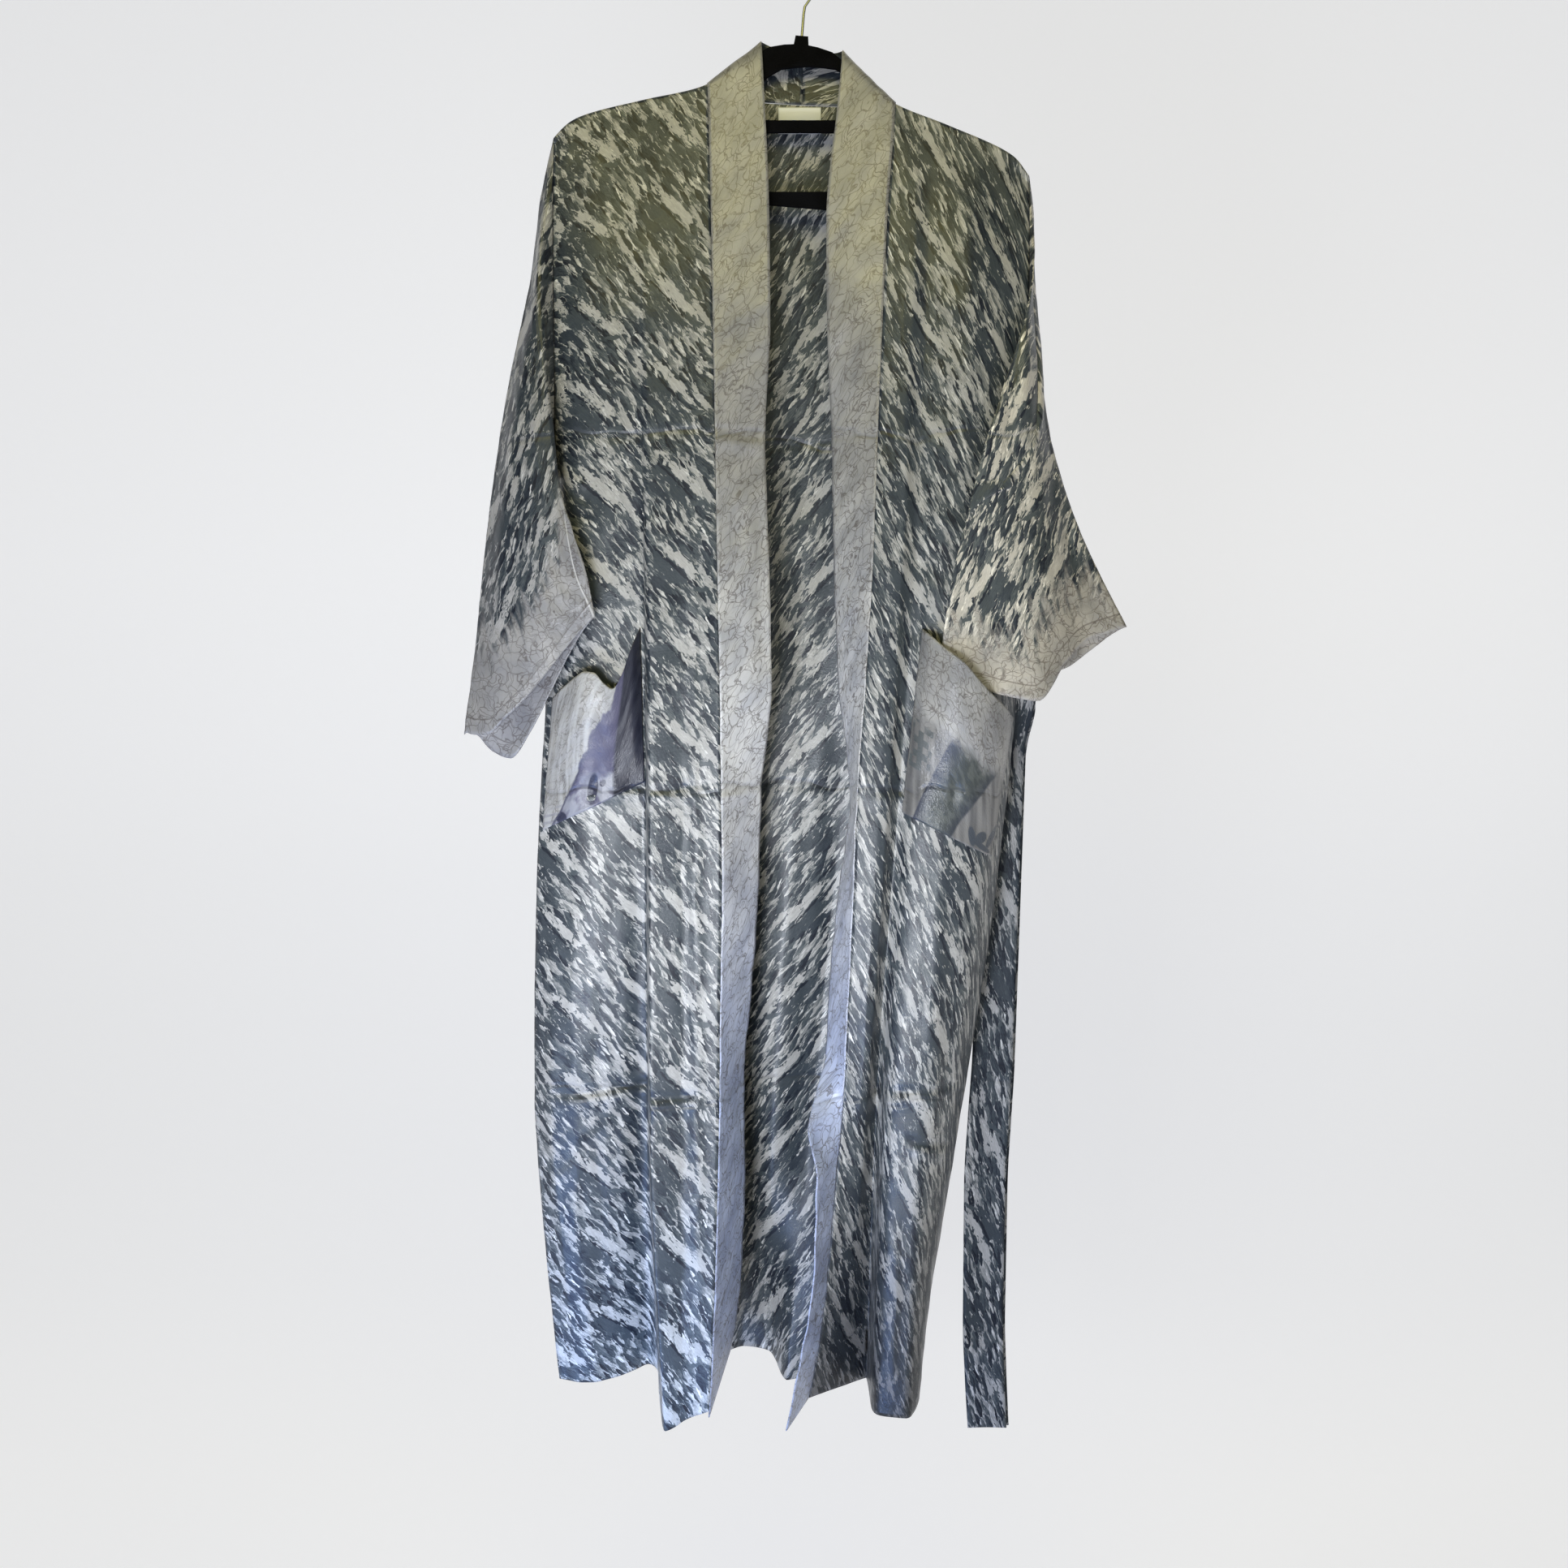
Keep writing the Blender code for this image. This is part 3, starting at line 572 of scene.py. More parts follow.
def behind_neck(x: float) -> bool:
    """Whether the back's top edge meets the neckband at this x, not the shoulder fold."""
    low, high = (band_at(table, "arm back").sx for table in (BAND_LEFT, BAND_RIGHT))
    return low - SEAM / 2 < x < high + SEAM / 2


def neck_edge(x: float) -> np.ndarray:
    """Seam edge of the neckband behind the neck at a world x."""
    return (LEFT_BAND if x < BAND_LEFT[-1].sx else RIGHT_BAND).neck_at(x)


def fold_points(fold: Fold, z: np.ndarray, layer: int) -> np.ndarray:
    """Where a fold passes nominal heights.

    Args:
        fold: the fold.
        z: nominal heights.
        layer: -1 for a front, 1 for the back.

    Returns:
        A point for each height.
    """
    x = ease([-TOP, -WAIST, -KNEE, -HEM], [fold.x_top, fold.x_waist, fold.x_knee, fold.x_hem], -z)
    if layer > 0 and behind_neck(fold.x_top):
        edge = neck_edge(fold.x_top)
        top_y, top_z = edge[1] + NECK_BEHIND, edge[2] - NECK_BELOW
    else:
        top_y, top_z = layer * BESIDE_ARM, ridge(fold.x_top) - BELOW_RIDGE
    depths = [top_y, fold.y_chest, fold.y_waist, fold.y_thigh, fold.y_knee, fold.y_hem]
    y = ease([-TOP, -CHEST, -WAIST, -THIGH, -KNEE, -HEM], depths, -z)
    lift = (top_z - TOP) * near_top(z)
    drop = fold.drop * smooth((KNEE - z) / (KNEE - HEM))
    return np.stack([x, y, z + lift - drop], axis=-1)


def placed(bm: bmesh.types.BMesh, mesh: bpy.types.Mesh, finish: bpy.types.Material) -> bpy.types.Object:
    """Ends a bmesh and puts it in the scene as a smooth piece.

    Args:
        bm: the shape.
        mesh: where it goes; the piece gets its name.
        finish: its material.

    Returns:
        The piece.
    """
    bm.to_mesh(mesh)
    bm.free()
    mesh.shade_smooth()
    mesh.materials.append(finish)
    piece = bpy.data.objects.new(mesh.name, mesh)
    bpy.context.scene.collection.objects.link(piece)
    return piece


class Spread:
    """A cloth's grid of points in millimetres, rows down and columns across."""

    # A pressed crease: how far and how fast it wanders, and the share of it that fades at each end
    wander: float = 1.6
    wander_run: float = 17.0
    crease_end: float = 0.25
    # A ripple: how many waves it has, and how far from an open cloth's ends or a tube's top it fades in
    waves: int = 12
    fade_edge: float = 25.0
    fade_tube: float = 30.0
    # A hem: depth and width of its stitch line, reach of its puckers, and their two wavelengths
    stitch_in: float = 0.35
    stitch_wide: float = 1.8
    pucker_reach: float = 9.0
    puckers: tuple[float, float] = (13.0, 7.3)

    def __init__(self, points: np.ndarray, tube: bool = False) -> None:
        """Keeps the points; a tube gets its first column again as its last.

        Args:
            points: rows of points.
            tube: whether each row is a closed ring.
        """
        self.points = np.concatenate([points, points[:, :1]], axis=1) if tube else points
        self.tube = tube
        self.across: np.ndarray | None = None
        self.down: np.ndarray | None = None
        self.printed: np.ndarray | None = None

    def refined(self, spacing: float) -> "Spread":
        """Adds rows and columns on the same smooth surface.

        Args:
            spacing: the wanted distance between rows and between columns, in millimetres.

        Returns:
            This spread.
        """
        for axis in (0, 1):
            points = np.moveaxis(self.points, axis, 0)
            steps = np.linalg.norm(np.diff(points, axis=0), axis=-1).mean(axis=1)
            along = np.concatenate([[0.0], np.cumsum(steps)])
            count = max(int(round(along[-1] / spacing)), 2)
            even = np.interp(np.linspace(0, along[-1], count + 1), along, np.arange(len(along)))
            at = np.unique(np.round(np.concatenate([even, np.arange(len(along))]), 4))
            keep = np.concatenate([[True], np.diff(at) > 0.04])
            keep[-1] = True
            points = ease(np.arange(len(along)), points, at[keep])
            self.points = np.moveaxis(points, 0, axis)
        self.measure()
        return self

    def measure(self) -> None:
        """Works out each point's place on the flat cloth, in millimetres across and down."""
        down = np.linalg.norm(np.diff(self.points, axis=0), axis=-1)
        down = np.concatenate([np.zeros((1, down.shape[1])), np.cumsum(down, axis=0)])
        across = np.linalg.norm(np.diff(self.points, axis=1), axis=-1)
        across = np.concatenate([np.zeros((across.shape[0], 1)), np.cumsum(across, axis=1)], axis=1)
        self.down, self.across = down, across

    def print_as_hung(self) -> None:
        """Lays the print along the hung tube: straight on its front layer, mirrored on its back one."""
        x, z = self.points[..., 0], self.points[..., 2]
        half = np.arange(x.shape[1]) >= (x.shape[1] - 1) / 2
        self.printed = np.stack([np.where(half[None], 2 * x[0, 0] - x, x), z], axis=-1)

    def normals(self) -> np.ndarray:
        """Unit normals that face the viewer on an open cloth and outwards on a tube."""
        normal = np.cross(np.gradient(self.points, axis=1), np.gradient(self.points, axis=0))
        return normal / np.maximum(np.linalg.norm(normal, axis=-1, keepdims=True), 1e-9)

    def lift(self, heights: np.ndarray) -> None:
        """Moves each point out along its normal."""
        self.points = self.points + self.normals() * heights[..., None]

    def press(self, creases: Sequence[Crease], side: int = -1) -> None:
        """Presses creases that are given in x and z into the cloth.

        Args:
            creases: the lines.
            side: -1 if they show towards the viewer, 1 if on the far side.
        """
        x, z = self.points[..., 0], self.points[..., 2]
        heights = np.zeros(x.shape)
        for crease in creases:
            run = np.array([crease.x1 - crease.x0, crease.z1 - crease.z0], dtype=float)
            length = np.linalg.norm(run)
            run /= length
            along = (x - crease.x0) * run[0] + (z - crease.z0) * run[1]
            off = (x - crease.x0) * run[1] - (z - crease.z0) * run[0]
            off = off + self.wander * np.sin(along / self.wander_run + crease.x0)
            end = self.crease_end * length
            taper = smooth(along / end) * smooth((length - along) / end)
            heights += crease.depth * np.exp(-((off / crease.width) ** 2)) * taper
        facing = np.where(self.normals()[..., 1] * side > 0, 1.0, 0.0) if self.tube else 1.0
        direction = np.array([0.0, float(side), 0.0])
        self.points = self.points + direction * (heights * facing)[..., None]

    def ripple(self, waves: Waves, seed: int) -> None:
        """Gives the cloth the faint unevenness of hung satin.

        Args:
            waves: how uneven it is.
            seed: starts the waves' directions and places.
        """
        random = np.random.default_rng(seed)
        heights = np.zeros(self.down.shape)
        for _ in range(self.waves):
            length = float(np.exp(random.uniform(math.log(waves.low), math.log(waves.high))))
            angle = random.uniform(0, math.pi)
            phase = random.uniform(0, 2 * math.pi)
            flow = self.across * math.cos(angle) + self.down * math.sin(angle)
            bend = 0.8 * np.sin(self.down / (length * 1.9) + phase * 2)
            heights += np.sin(2 * math.pi * flow / length + phase + bend) * length / waves.high
        heights *= waves.depth / max(float(np.abs(heights).max()), 1e-9)
        fade = np.minimum(self.down, self.down[-1:] - self.down) / self.fade_edge
        fade = self.down / self.fade_tube if self.tube else fade
        self.lift(heights * np.clip(fade, 0, 1))

    def stitch(self, hem: Hem, seed: int) -> None:
        """Draws in the stitch line above the hem and puckers it.

        Args:
            hem: the hem.
            seed: starts the puckers' places.
        """
        off = self.down[-1:] - self.down - hem.width
        phase = np.random.default_rng(seed).uniform(0, 6)
        turn = self.across * 2 * math.pi
        wave = np.sin(turn / self.puckers[0] + phase) + 0.6 * np.sin(turn / self.puckers[1])
        drawn = -self.stitch_in * np.exp(-((off / self.stitch_wide) ** 2))
        self.lift(drawn + hem.pucker * wave * np.exp(-((off / self.pucker_reach) ** 2)))

    def maps(self, u_from: float) -> dict[str, np.ndarray]:
        """The cloth's UV maps.

        Args:
            u_from: share of the width that u is measured from.

        Returns:
            The flat measure and the measure from the hem, in metres, and the shares across and down.
        """
        wide, long = self.across[:, -1:], self.down[-1:]
        flat = np.stack([self.across - wide * u_from, -self.down], axis=-1)
        return {
            "Cloth": (flat if self.printed is None else self.printed) * MM,
            "Share": np.stack([self.across / wide, self.down / long], axis=-1),
            "Hem": np.stack([long - self.down, self.across], axis=-1) * MM,
        }

    def to_object(
        self, name: str, finish: bpy.types.Material, thick: float, u_from: float = 0.0
    ) -> bpy.types.Object:
        """Makes the cloth as a thin shell with its UV maps.

        Args:
            name: the piece's name.
            finish: its material.
            thick: the shell's thickness, in millimetres.
            u_from: share of the width that u is measured from.

        Returns:
            The object.
        """
        rows, columns = self.points.shape[:2]
        bm = bmesh.new()
        bmesh.ops.create_grid(bm, x_segments=columns - 1, y_segments=rows - 1, size=1)
        mesh = bpy.data.meshes.new(name)
        bm.to_mesh(mesh)
        bm.free()
        flat = np.empty(len(mesh.vertices) * 3)
        mesh.vertices.foreach_get("co", flat)
        flat = flat.reshape(-1, 3)
        i = np.rint((flat[:, 0] + 1) / 2 * (columns - 1)).astype(int)
        j = np.rint((flat[:, 1] + 1) / 2 * (rows - 1)).astype(int)
        mesh.vertices.foreach_set("co", (self.points[j, i] * MM).ravel())
        corner = np.empty(len(mesh.loops), dtype=int)
        mesh.loops.foreach_get("vertex_index", corner)
        for layer, uv in self.maps(u_from).items():
            mesh.uv_layers.new(name=layer).data.foreach_set("uv", uv[j, i][corner].ravel())
        bm = bmesh.new()
        bm.from_mesh(mesh)
        if self.tube:
            bmesh.ops.remove_doubles(bm, verts=bm.verts, dist=MERGE)
        bmesh.ops.recalc_face_normals(bm, faces=bm.faces)
        piece = placed(bm, mesh, finish)
        wall = piece.modifiers.new("wall", "SOLIDIFY")
        wall.thickness = thick * MM
        wall.offset = 0
        return piece

    def cut_size(self) -> tuple[float, float, float]:
        """Width, length and area of the flat cut, in metres and square metres.

        Returns:
            Width and length in metres, and area in square metres.
        """
        along, down = np.diff(self.points[:-1], axis=1), np.diff(self.points[:, :-1], axis=0)
        area = float(np.linalg.norm(np.cross(along, down), axis=-1).sum()) * MM * MM
        pick = np.mean if self.tube else np.max
        width, length = float(pick(self.across[:, -1])) * MM, float(pick(self.down[-1])) * MM
        return width, length, min(area, width * length)


class Nodes:
    """A small hand for building a material's nodes."""

    def __init__(self, name: str) -> None:
        """Starts an empty material with a Principled shader.

        Args:
            name: the material's name.
        """
        self.material = bpy.data.materials.new(name)
        self.material.use_nodes = True
        self.tree = self.material.node_tree
        self.shader = self.tree.nodes["Principled BSDF"]

    def add(self, kind: str, inputs: dict | None = None, **settings: str | bool) -> bpy.types.Node:
        """Adds a node.

        Args:
            kind: the node's type name.
            inputs: socket name or number to a value or to an output socket.
            **settings: the node's own properties.

        Returns:
            The node.
        """
        node = self.tree.nodes.new(kind)
        for key, value in settings.items():
            setattr(node, key, value)
        for key, value in (inputs or {}).items():
            if isinstance(value, Socket):
                self.tree.links.new(value, node.inputs[key])
            else:
                node.inputs[key].default_value = value
        return node

    def math(self, operation: str, *values: Value, clamp: bool = False) -> Socket:
        """A Math node's output."""
        node = self.add("ShaderNodeMath", dict(enumerate(values)), operation=operation, use_clamp=clamp)
        return node.outputs[0]

    def plus(self, first: Value, second: Value) -> Socket:
        """The sum of two numbers."""
        return self.math("ADD", first, second)

    def less(self, first: Value, second: Value) -> Socket:
        """The first number less the second."""
        return self.math("SUBTRACT", first, second)

    def times(self, first: Value, second: Value) -> Socket:
        """The product of two numbers."""
        return self.math("MULTIPLY", first, second)

    def vector(self, operation: str, *values: Socket | tuple[float, ...], out: int = 0) -> Socket:
        """A Vector Math node's output."""
        return self.add("ShaderNodeVectorMath", dict(enumerate(values)), operation=operation).outputs[out]

    def parts(self, at: Socket) -> Sequence[Socket]:
        """The three numbers of a vector."""
        return self.add("ShaderNodeSeparateXYZ", {0: at}).outputs

    def joined(self, x: Value, y: Value) -> Socket:
        """A flat vector of two numbers."""
        return self.add("ShaderNodeCombineXYZ", {0: x, 1: y}).outputs[0]

    def ramp(
        self, value: Value, low: float, high: float, to_low: float = 0.0, to_high: float = 1.0
    ) -> Socket:
        """Carries a value from one range to another, and no further.

        Args:
            value: the value.
            low: where the first range starts.
            high: where it ends.
            to_low: what low becomes.
            to_high: what high becomes.

        Returns:
            The value in the second range.
        """
        inputs = {0: value, 1: low, 2: high, 3: to_low, 4: to_high}
        return self.add("ShaderNodeMapRange", inputs, clamp=True).outputs[0]

    def mix(self, share: Value, first: Value, second: Value) -> Socket:
        """A mix of two numbers."""
        return self.add("ShaderNodeMix", {0: share, 2: first, 3: second}, data_type="FLOAT").outputs[0]

    def mix_colour(self, share: Value, first: Colour, second: Colour, blend: str = "MIX") -> Socket:
        """A mix of two colours.

        Args:
            share: how much of the second colour.
            first: the first colour.
            second: the second colour.
            blend: how the second goes over the first.

        Returns:
            The mixed colour.
        """
        inputs = {0: share, 6: first, 7: second}
        return self.add("ShaderNodeMix", inputs, data_type="RGBA", blend_type=blend).outputs[2]

    def colours(self, value: Socket, stops: Tones) -> Socket:
        """A colour ramp.

        Args:
            value: where to read it.
            stops: its places and colours.

        Returns:
            The colour.
        """
        node = self.add("ShaderNodeValToRGB", {0: value})
        band = node.color_ramp
        while len(band.elements) < len(stops):
            band.elements.new(0.5)
        for element, (place, colour) in zip(band.elements, stops):
            element.position, element.color = place, (*colour, 1)
        return node.outputs[0]

    def noise(self, at: Socket, scale: float, detail: float = 2.0, colour: bool = False) -> Socket:
        """A noise texture.

        Args:
            at: where it is read.
            scale: how many lumps a unit of length has.
            detail: how many finer layers it has.
            colour: whether the colour is wanted, not the value.

        Returns:
            Its value or colour.
        """
        node = self.add("ShaderNodeTexNoise", {"Vector": at, "Scale": scale, "Detail": detail})
        return node.outputs[1 if colour else 0]

    def streaks(self, at: Socket, degrees: float, size: tuple[float, float], detail: float) -> Socket:
        """A noise in lumps of a given size, turned anticlockwise."""
        return self.noise(self.framed(at, degrees, size), 1.0, detail)

    def to_edge(self, at: Socket, scale: float) -> Socket:
        """How far a place is from the edge of its random cell."""
        inputs, edge = {"Vector": at, "Scale": scale, "Randomness": 1.0}, "DISTANCE_TO_EDGE"
        return self.add("ShaderNodeTexVoronoi", inputs, feature=edge, voronoi_dimensions="2D").outputs[0]

    def chance(self, at: Socket) -> bpy.types.Node:
        """A random value and colour for each whole place of a flat vector."""
        return self.add("ShaderNodeTexWhiteNoise", {"Vector": at}, noise_dimensions="2D")

    def sway(self, noise: Socket, low: float, high: float) -> Socket:
        """Carries a noise, which seldom leaves 0.3 to 0.7, to another range."""
        return self.ramp(noise, 0.3, 0.7, low, high)

    def drift(self, at: Socket, scale: float, detail: float) -> Socket:
        """A noise's colour as a small vector about zero."""
        return self.vector("SUBTRACT", self.noise(at, scale, detail, True), (0.5, 0.5, 0.5))

    def map(self, name: str) -> Socket:
        """One of the cloth's UV maps."""
        return self.add("ShaderNodeUVMap", uv_map=name).outputs[0]

    def flat(self) -> Socket:
        """The cloth's flat measure in millimetres: across and up from its top edge."""
        return self.scaled(self.map("Cloth"), TO_MM)

    def shares(self) -> tuple[Socket, Socket]:
        """How far a place is across and down the cloth, from 0 to 1."""
        across, down, _ = self.parts(self.map("Share"))
        return across, down

    def from_hem(self) -> Socket:
        """How far a place is above the hem, in millimetres."""
        return self.times(self.parts(self.map("Hem"))[0], TO_MM)

    def place(self) -> Socket:
        """A place on the piece, in metres."""
        return self.add("ShaderNodeTexCoord").outputs["Object"]

    def height(self) -> Socket:
        """Height of a place in millimetres."""
        return self.times(self.parts(self.place())[2], TO_MM)

    def line(self, value: Socket, at: float, half: float, soft: float) -> Socket:
        """A soft line.

        Args:
            value: the value that is looked at.
            at: the value in the line's middle.
            half: half its width.
            soft: the width of its soft edge.

        Returns:
            1 on the line and 0 away from it.
        """
        off = self.math("ABSOLUTE", self.less(value, at))
        return self.ramp(off, half, half + soft, 1, 0)

    def scaled(self, at: Socket, by: float) -> Socket:
        """A vector times a number."""
        return self.add("ShaderNodeVectorMath", {0: at, 3: by}, operation="SCALE").outputs[0]

    def framed(self, at: Socket, degrees: float, size: tuple[float, float] = (1, 1)) -> Socket:
        """Measures a place in a frame of its own.

        Args:
            at: the place.
            degrees: how far the frame is turned anticlockwise.
            size: the frame's width and height.

        Returns:
            The place in units of the frame's width and height.
        """
        inputs = {0: at, 2: (0, 0, math.radians(degrees)), 3: (*size, 1)}
        return self.add("ShaderNodeMapping", inputs, vector_type="TEXTURE").outputs[0]

    def bump(
        self, height: Socket, strength: float, distance: float, below: Socket | None = None
    ) -> Socket:
        """Fine relief.

        Args:
            height: its height.
            strength: how strong it is.
            distance: how deep it is, in metres.
            below: the normal that it lies on.

        Returns:
            The normal.
        """
        inputs = {"Height": height, "Strength": strength, "Distance": distance}
        if below is not None:
            inputs["Normal"] = below
        return self.add("ShaderNodeBump", inputs).outputs[0]

    def finish(
        self, colour: Socket, roughness: Value, normal: Socket, **sockets: float
    ) -> bpy.types.Material:
        """Links the shader's sockets.

        Args:
            colour: the base colour.
            roughness: the roughness.
            normal: the normal.
            **sockets: plain numbers for other sockets, with _ for a space.

        Returns:
            The material.
        """
        for name, value in (("Base Color", colour), ("Roughness", roughness), ("Normal", normal)):
            if isinstance(value, Socket):
                self.tree.links.new(value, self.shader.inputs[name])
            else:
                self.shader.inputs[name].default_value = value
        for key, value in sockets.items():
            self.shader.inputs[key.replace("_", " ")].default_value = value
        return self.material


class Lean(Enum):
    """Which way the print's strokes lean as the viewer sees the cloth."""

    LEFT = 1
    RIGHT = -1


class Stroke(NamedTuple):
    """A large stroke of the repeat: centre, angle from upright, half length and width, tone, raggedness."""

    x: float
    y: float
    angle: float
    length: float
    width: float
    tone: float
    ragged: float = 0.05


class Feathers(NamedTuple):
    """A layer of close strokes: their angle, width and length, how many show, and their tones."""

    seed: float
    angle: float
    width: float
    length: float
    share: float
    tones: tuple[tuple[float, float], ...]


# The leaf print, in millimetres; tone runs from 0, blue-black, to 1, pale silver
FEATHERS = (
    Feathers(3, 37, 8.5, 33, 0.8, ((0.0, 0.1), (0.3, 0.22), (0.7, 0.36), (0.74, 0.62), (1.0, 0.72))),
    Feathers(17, 27, 6.2, 25, 0.62, ((0.0, 0.05), (0.4, 0.2), (0.8, 0.36), (0.84, 0.64), (1.0, 0.74))),
    Feathers(41, 33, 3.2, 15, 0.24, ((0.0, 0.0), (0.4, 0.14), (0.6, 0.3), (0.64, 0.66), (1.0, 0.8))),
)
REPEAT = (77.0, 83.0)
STROKES = (
    Stroke(29, 46, 40, 38, 8.5, 0.24, 0.2),
    Stroke(20, 37, 44, 22, 4.5, 0.17, 0.15),
    Stroke(42, 52, 40, 37, 5.2, 0.74, 0.06),
    Stroke(35.5, 48, 40, 31, 1.5, 0.03, 0.1),
    Stroke(66, 33, 30, 20, 4.2, 0.7, 0.3),
    Stroke(72, 30, 30, 19, 2.0, 0.1, 0.2),
    Stroke(60, 22, 76, 9, 2.8, 0.3, 0.1),
    Stroke(8, 74, 28, 17, 4.0, 0.72, 0.35),
    Stroke(13, 72, 27, 16, 1.8, 0.08, 0.2),
    Stroke(52, 62, 28, 7, 1.2, 0.0, 0.1),
    Stroke(66, 74, 24, 7, 0.8, 0.9, 0.1),
    Stroke(4, 22, 30, 7, 0.8, 0.9, 0.1),
)
INK = (
    (0.0, (0.006, 0.008, 0.015)),
    (0.16, (0.024, 0.031, 0.04)),
    (0.34, (0.056, 0.068, 0.073)),
    (0.54, (0.15, 0.156, 0.152)),
    (0.74, (0.34, 0.332, 0.312)),
    (1.0, (0.74, 0.73, 0.69)),
)
GREY_SILK = (0.325, 0.315, 0.292, 1)
# Painted light on the crackled satin: a brighter middle colour for the sheen at the waist, and a bluer low
# colour for the cool light below
SILK_PAINTED_SHEEN = (0.57, 0.56, 0.54, 1)
SILK_PAINTED_COOL_LIGHT = (0.44, 0.49, 0.64, 1)
# Heights between which the grey silk turns to its middle colour, a painted sheen on the neckband, and then
# to its low one, painted cool light
TO_PAINTED_SHEEN, TO_PAINTED_COOL_LIGHT = (-470.0, -700.0), (-800.0, -1100.0)
# Heights of the long lines that storage pressed across all the cloths
STORED = (-449.0, -787.0, -1086.0)
CRACK_INK = (0.085, 0.072, 0.065, 1)
CLOUDED = (0.58, 0.6, 0.66, 1)
# Sets of crackle lines: cells in a millimetre, how far they wander, width as a share of a cell, and place
CRACKS = ((0.05, 34, 0.034, 0), (0.068, 26, 0.044, 40), (0.095, 18, 0.058, 90))


@dataclass(frozen=True)
class Satin:
    """What all the robe's cloths share: the soft gloss, slubs and crinkle of light satin."""

    gloss: float = 0.36
    crinkle: float = 0.35
    sheen: float = 0.45
    thread: Paint = (0.72, 0.72, 0.74, 1)
    shadow: Paint = (0.03, 0.032, 0.04, 1)
    # Half the width of a stored line, in millimetres, and how far it wanders up and down
    line_half: float = 3.2
    line_wander: float = 9.0
    # Depths of the crinkle's and the weave's relief, in metres
    crinkle_deep: float = 0.0011
    weave_deep: float = 0.00022

    def surface(self, nodes: Nodes, flat: Socket, colour: Socket) -> bpy.types.Material:
        """Finishes a cloth.

        Args:
            nodes: the material's nodes.
            flat: the cloth's flat measure in millimetres.
            colour: its colour.

        Returns:
            The material.
        """
        slub = nodes.streaks(flat, 0, (6, 0.45), 3)
        crepe = nodes.noise(flat, 0.42, 3)
        broad = nodes.noise(flat, 0.045, 2)
        weave = nodes.streaks(flat, 0, (0.6, 0.3), 1)
        threads = nodes.sway(slub, 0, 0.16)
        tinted = nodes.mix_colour(threads, colour, self.thread, "OVERLAY")
        rough = nodes.sway(slub, self.gloss - 0.05, self.gloss + 0.07)
        rough = nodes.plus(nodes.sway(broad, -0.05, 0.06), rough)
        height = nodes.plus(nodes.times(crepe, 0.6), nodes.times(slub, 0.25))
        # The stored lines are dents with a faint shadow, and fade out in places
        reach = self.line_wander
        wander = nodes.sway(nodes.noise(flat, 0.012, 2), -reach, reach)
        level = nodes.plus(nodes.height(), wander)
        kept = nodes.ramp(broad, 0.36, 0.5, 0.25, 1)
        for place in STORED:
            dent = nodes.times(nodes.line(level, place, 0.0, self.line_half), kept)
            height = nodes.less(height, nodes.times(dent, 1.5))
            tinted = nodes.mix_colour(nodes.times(dent, 0.3), tinted, self.shadow)
        normal = nodes.bump(height, self.crinkle, self.crinkle_deep)
        normal = nodes.bump(weave, 0.22, self.weave_deep, normal)
        return nodes.finish(
            tinted,
            rough,
            normal,
            Specular_IOR_Level=self.sheen,
            Sheen_Weight=0.03,
            Sheen_Roughness=0.4,
            Anisotropic=0.35,
        )


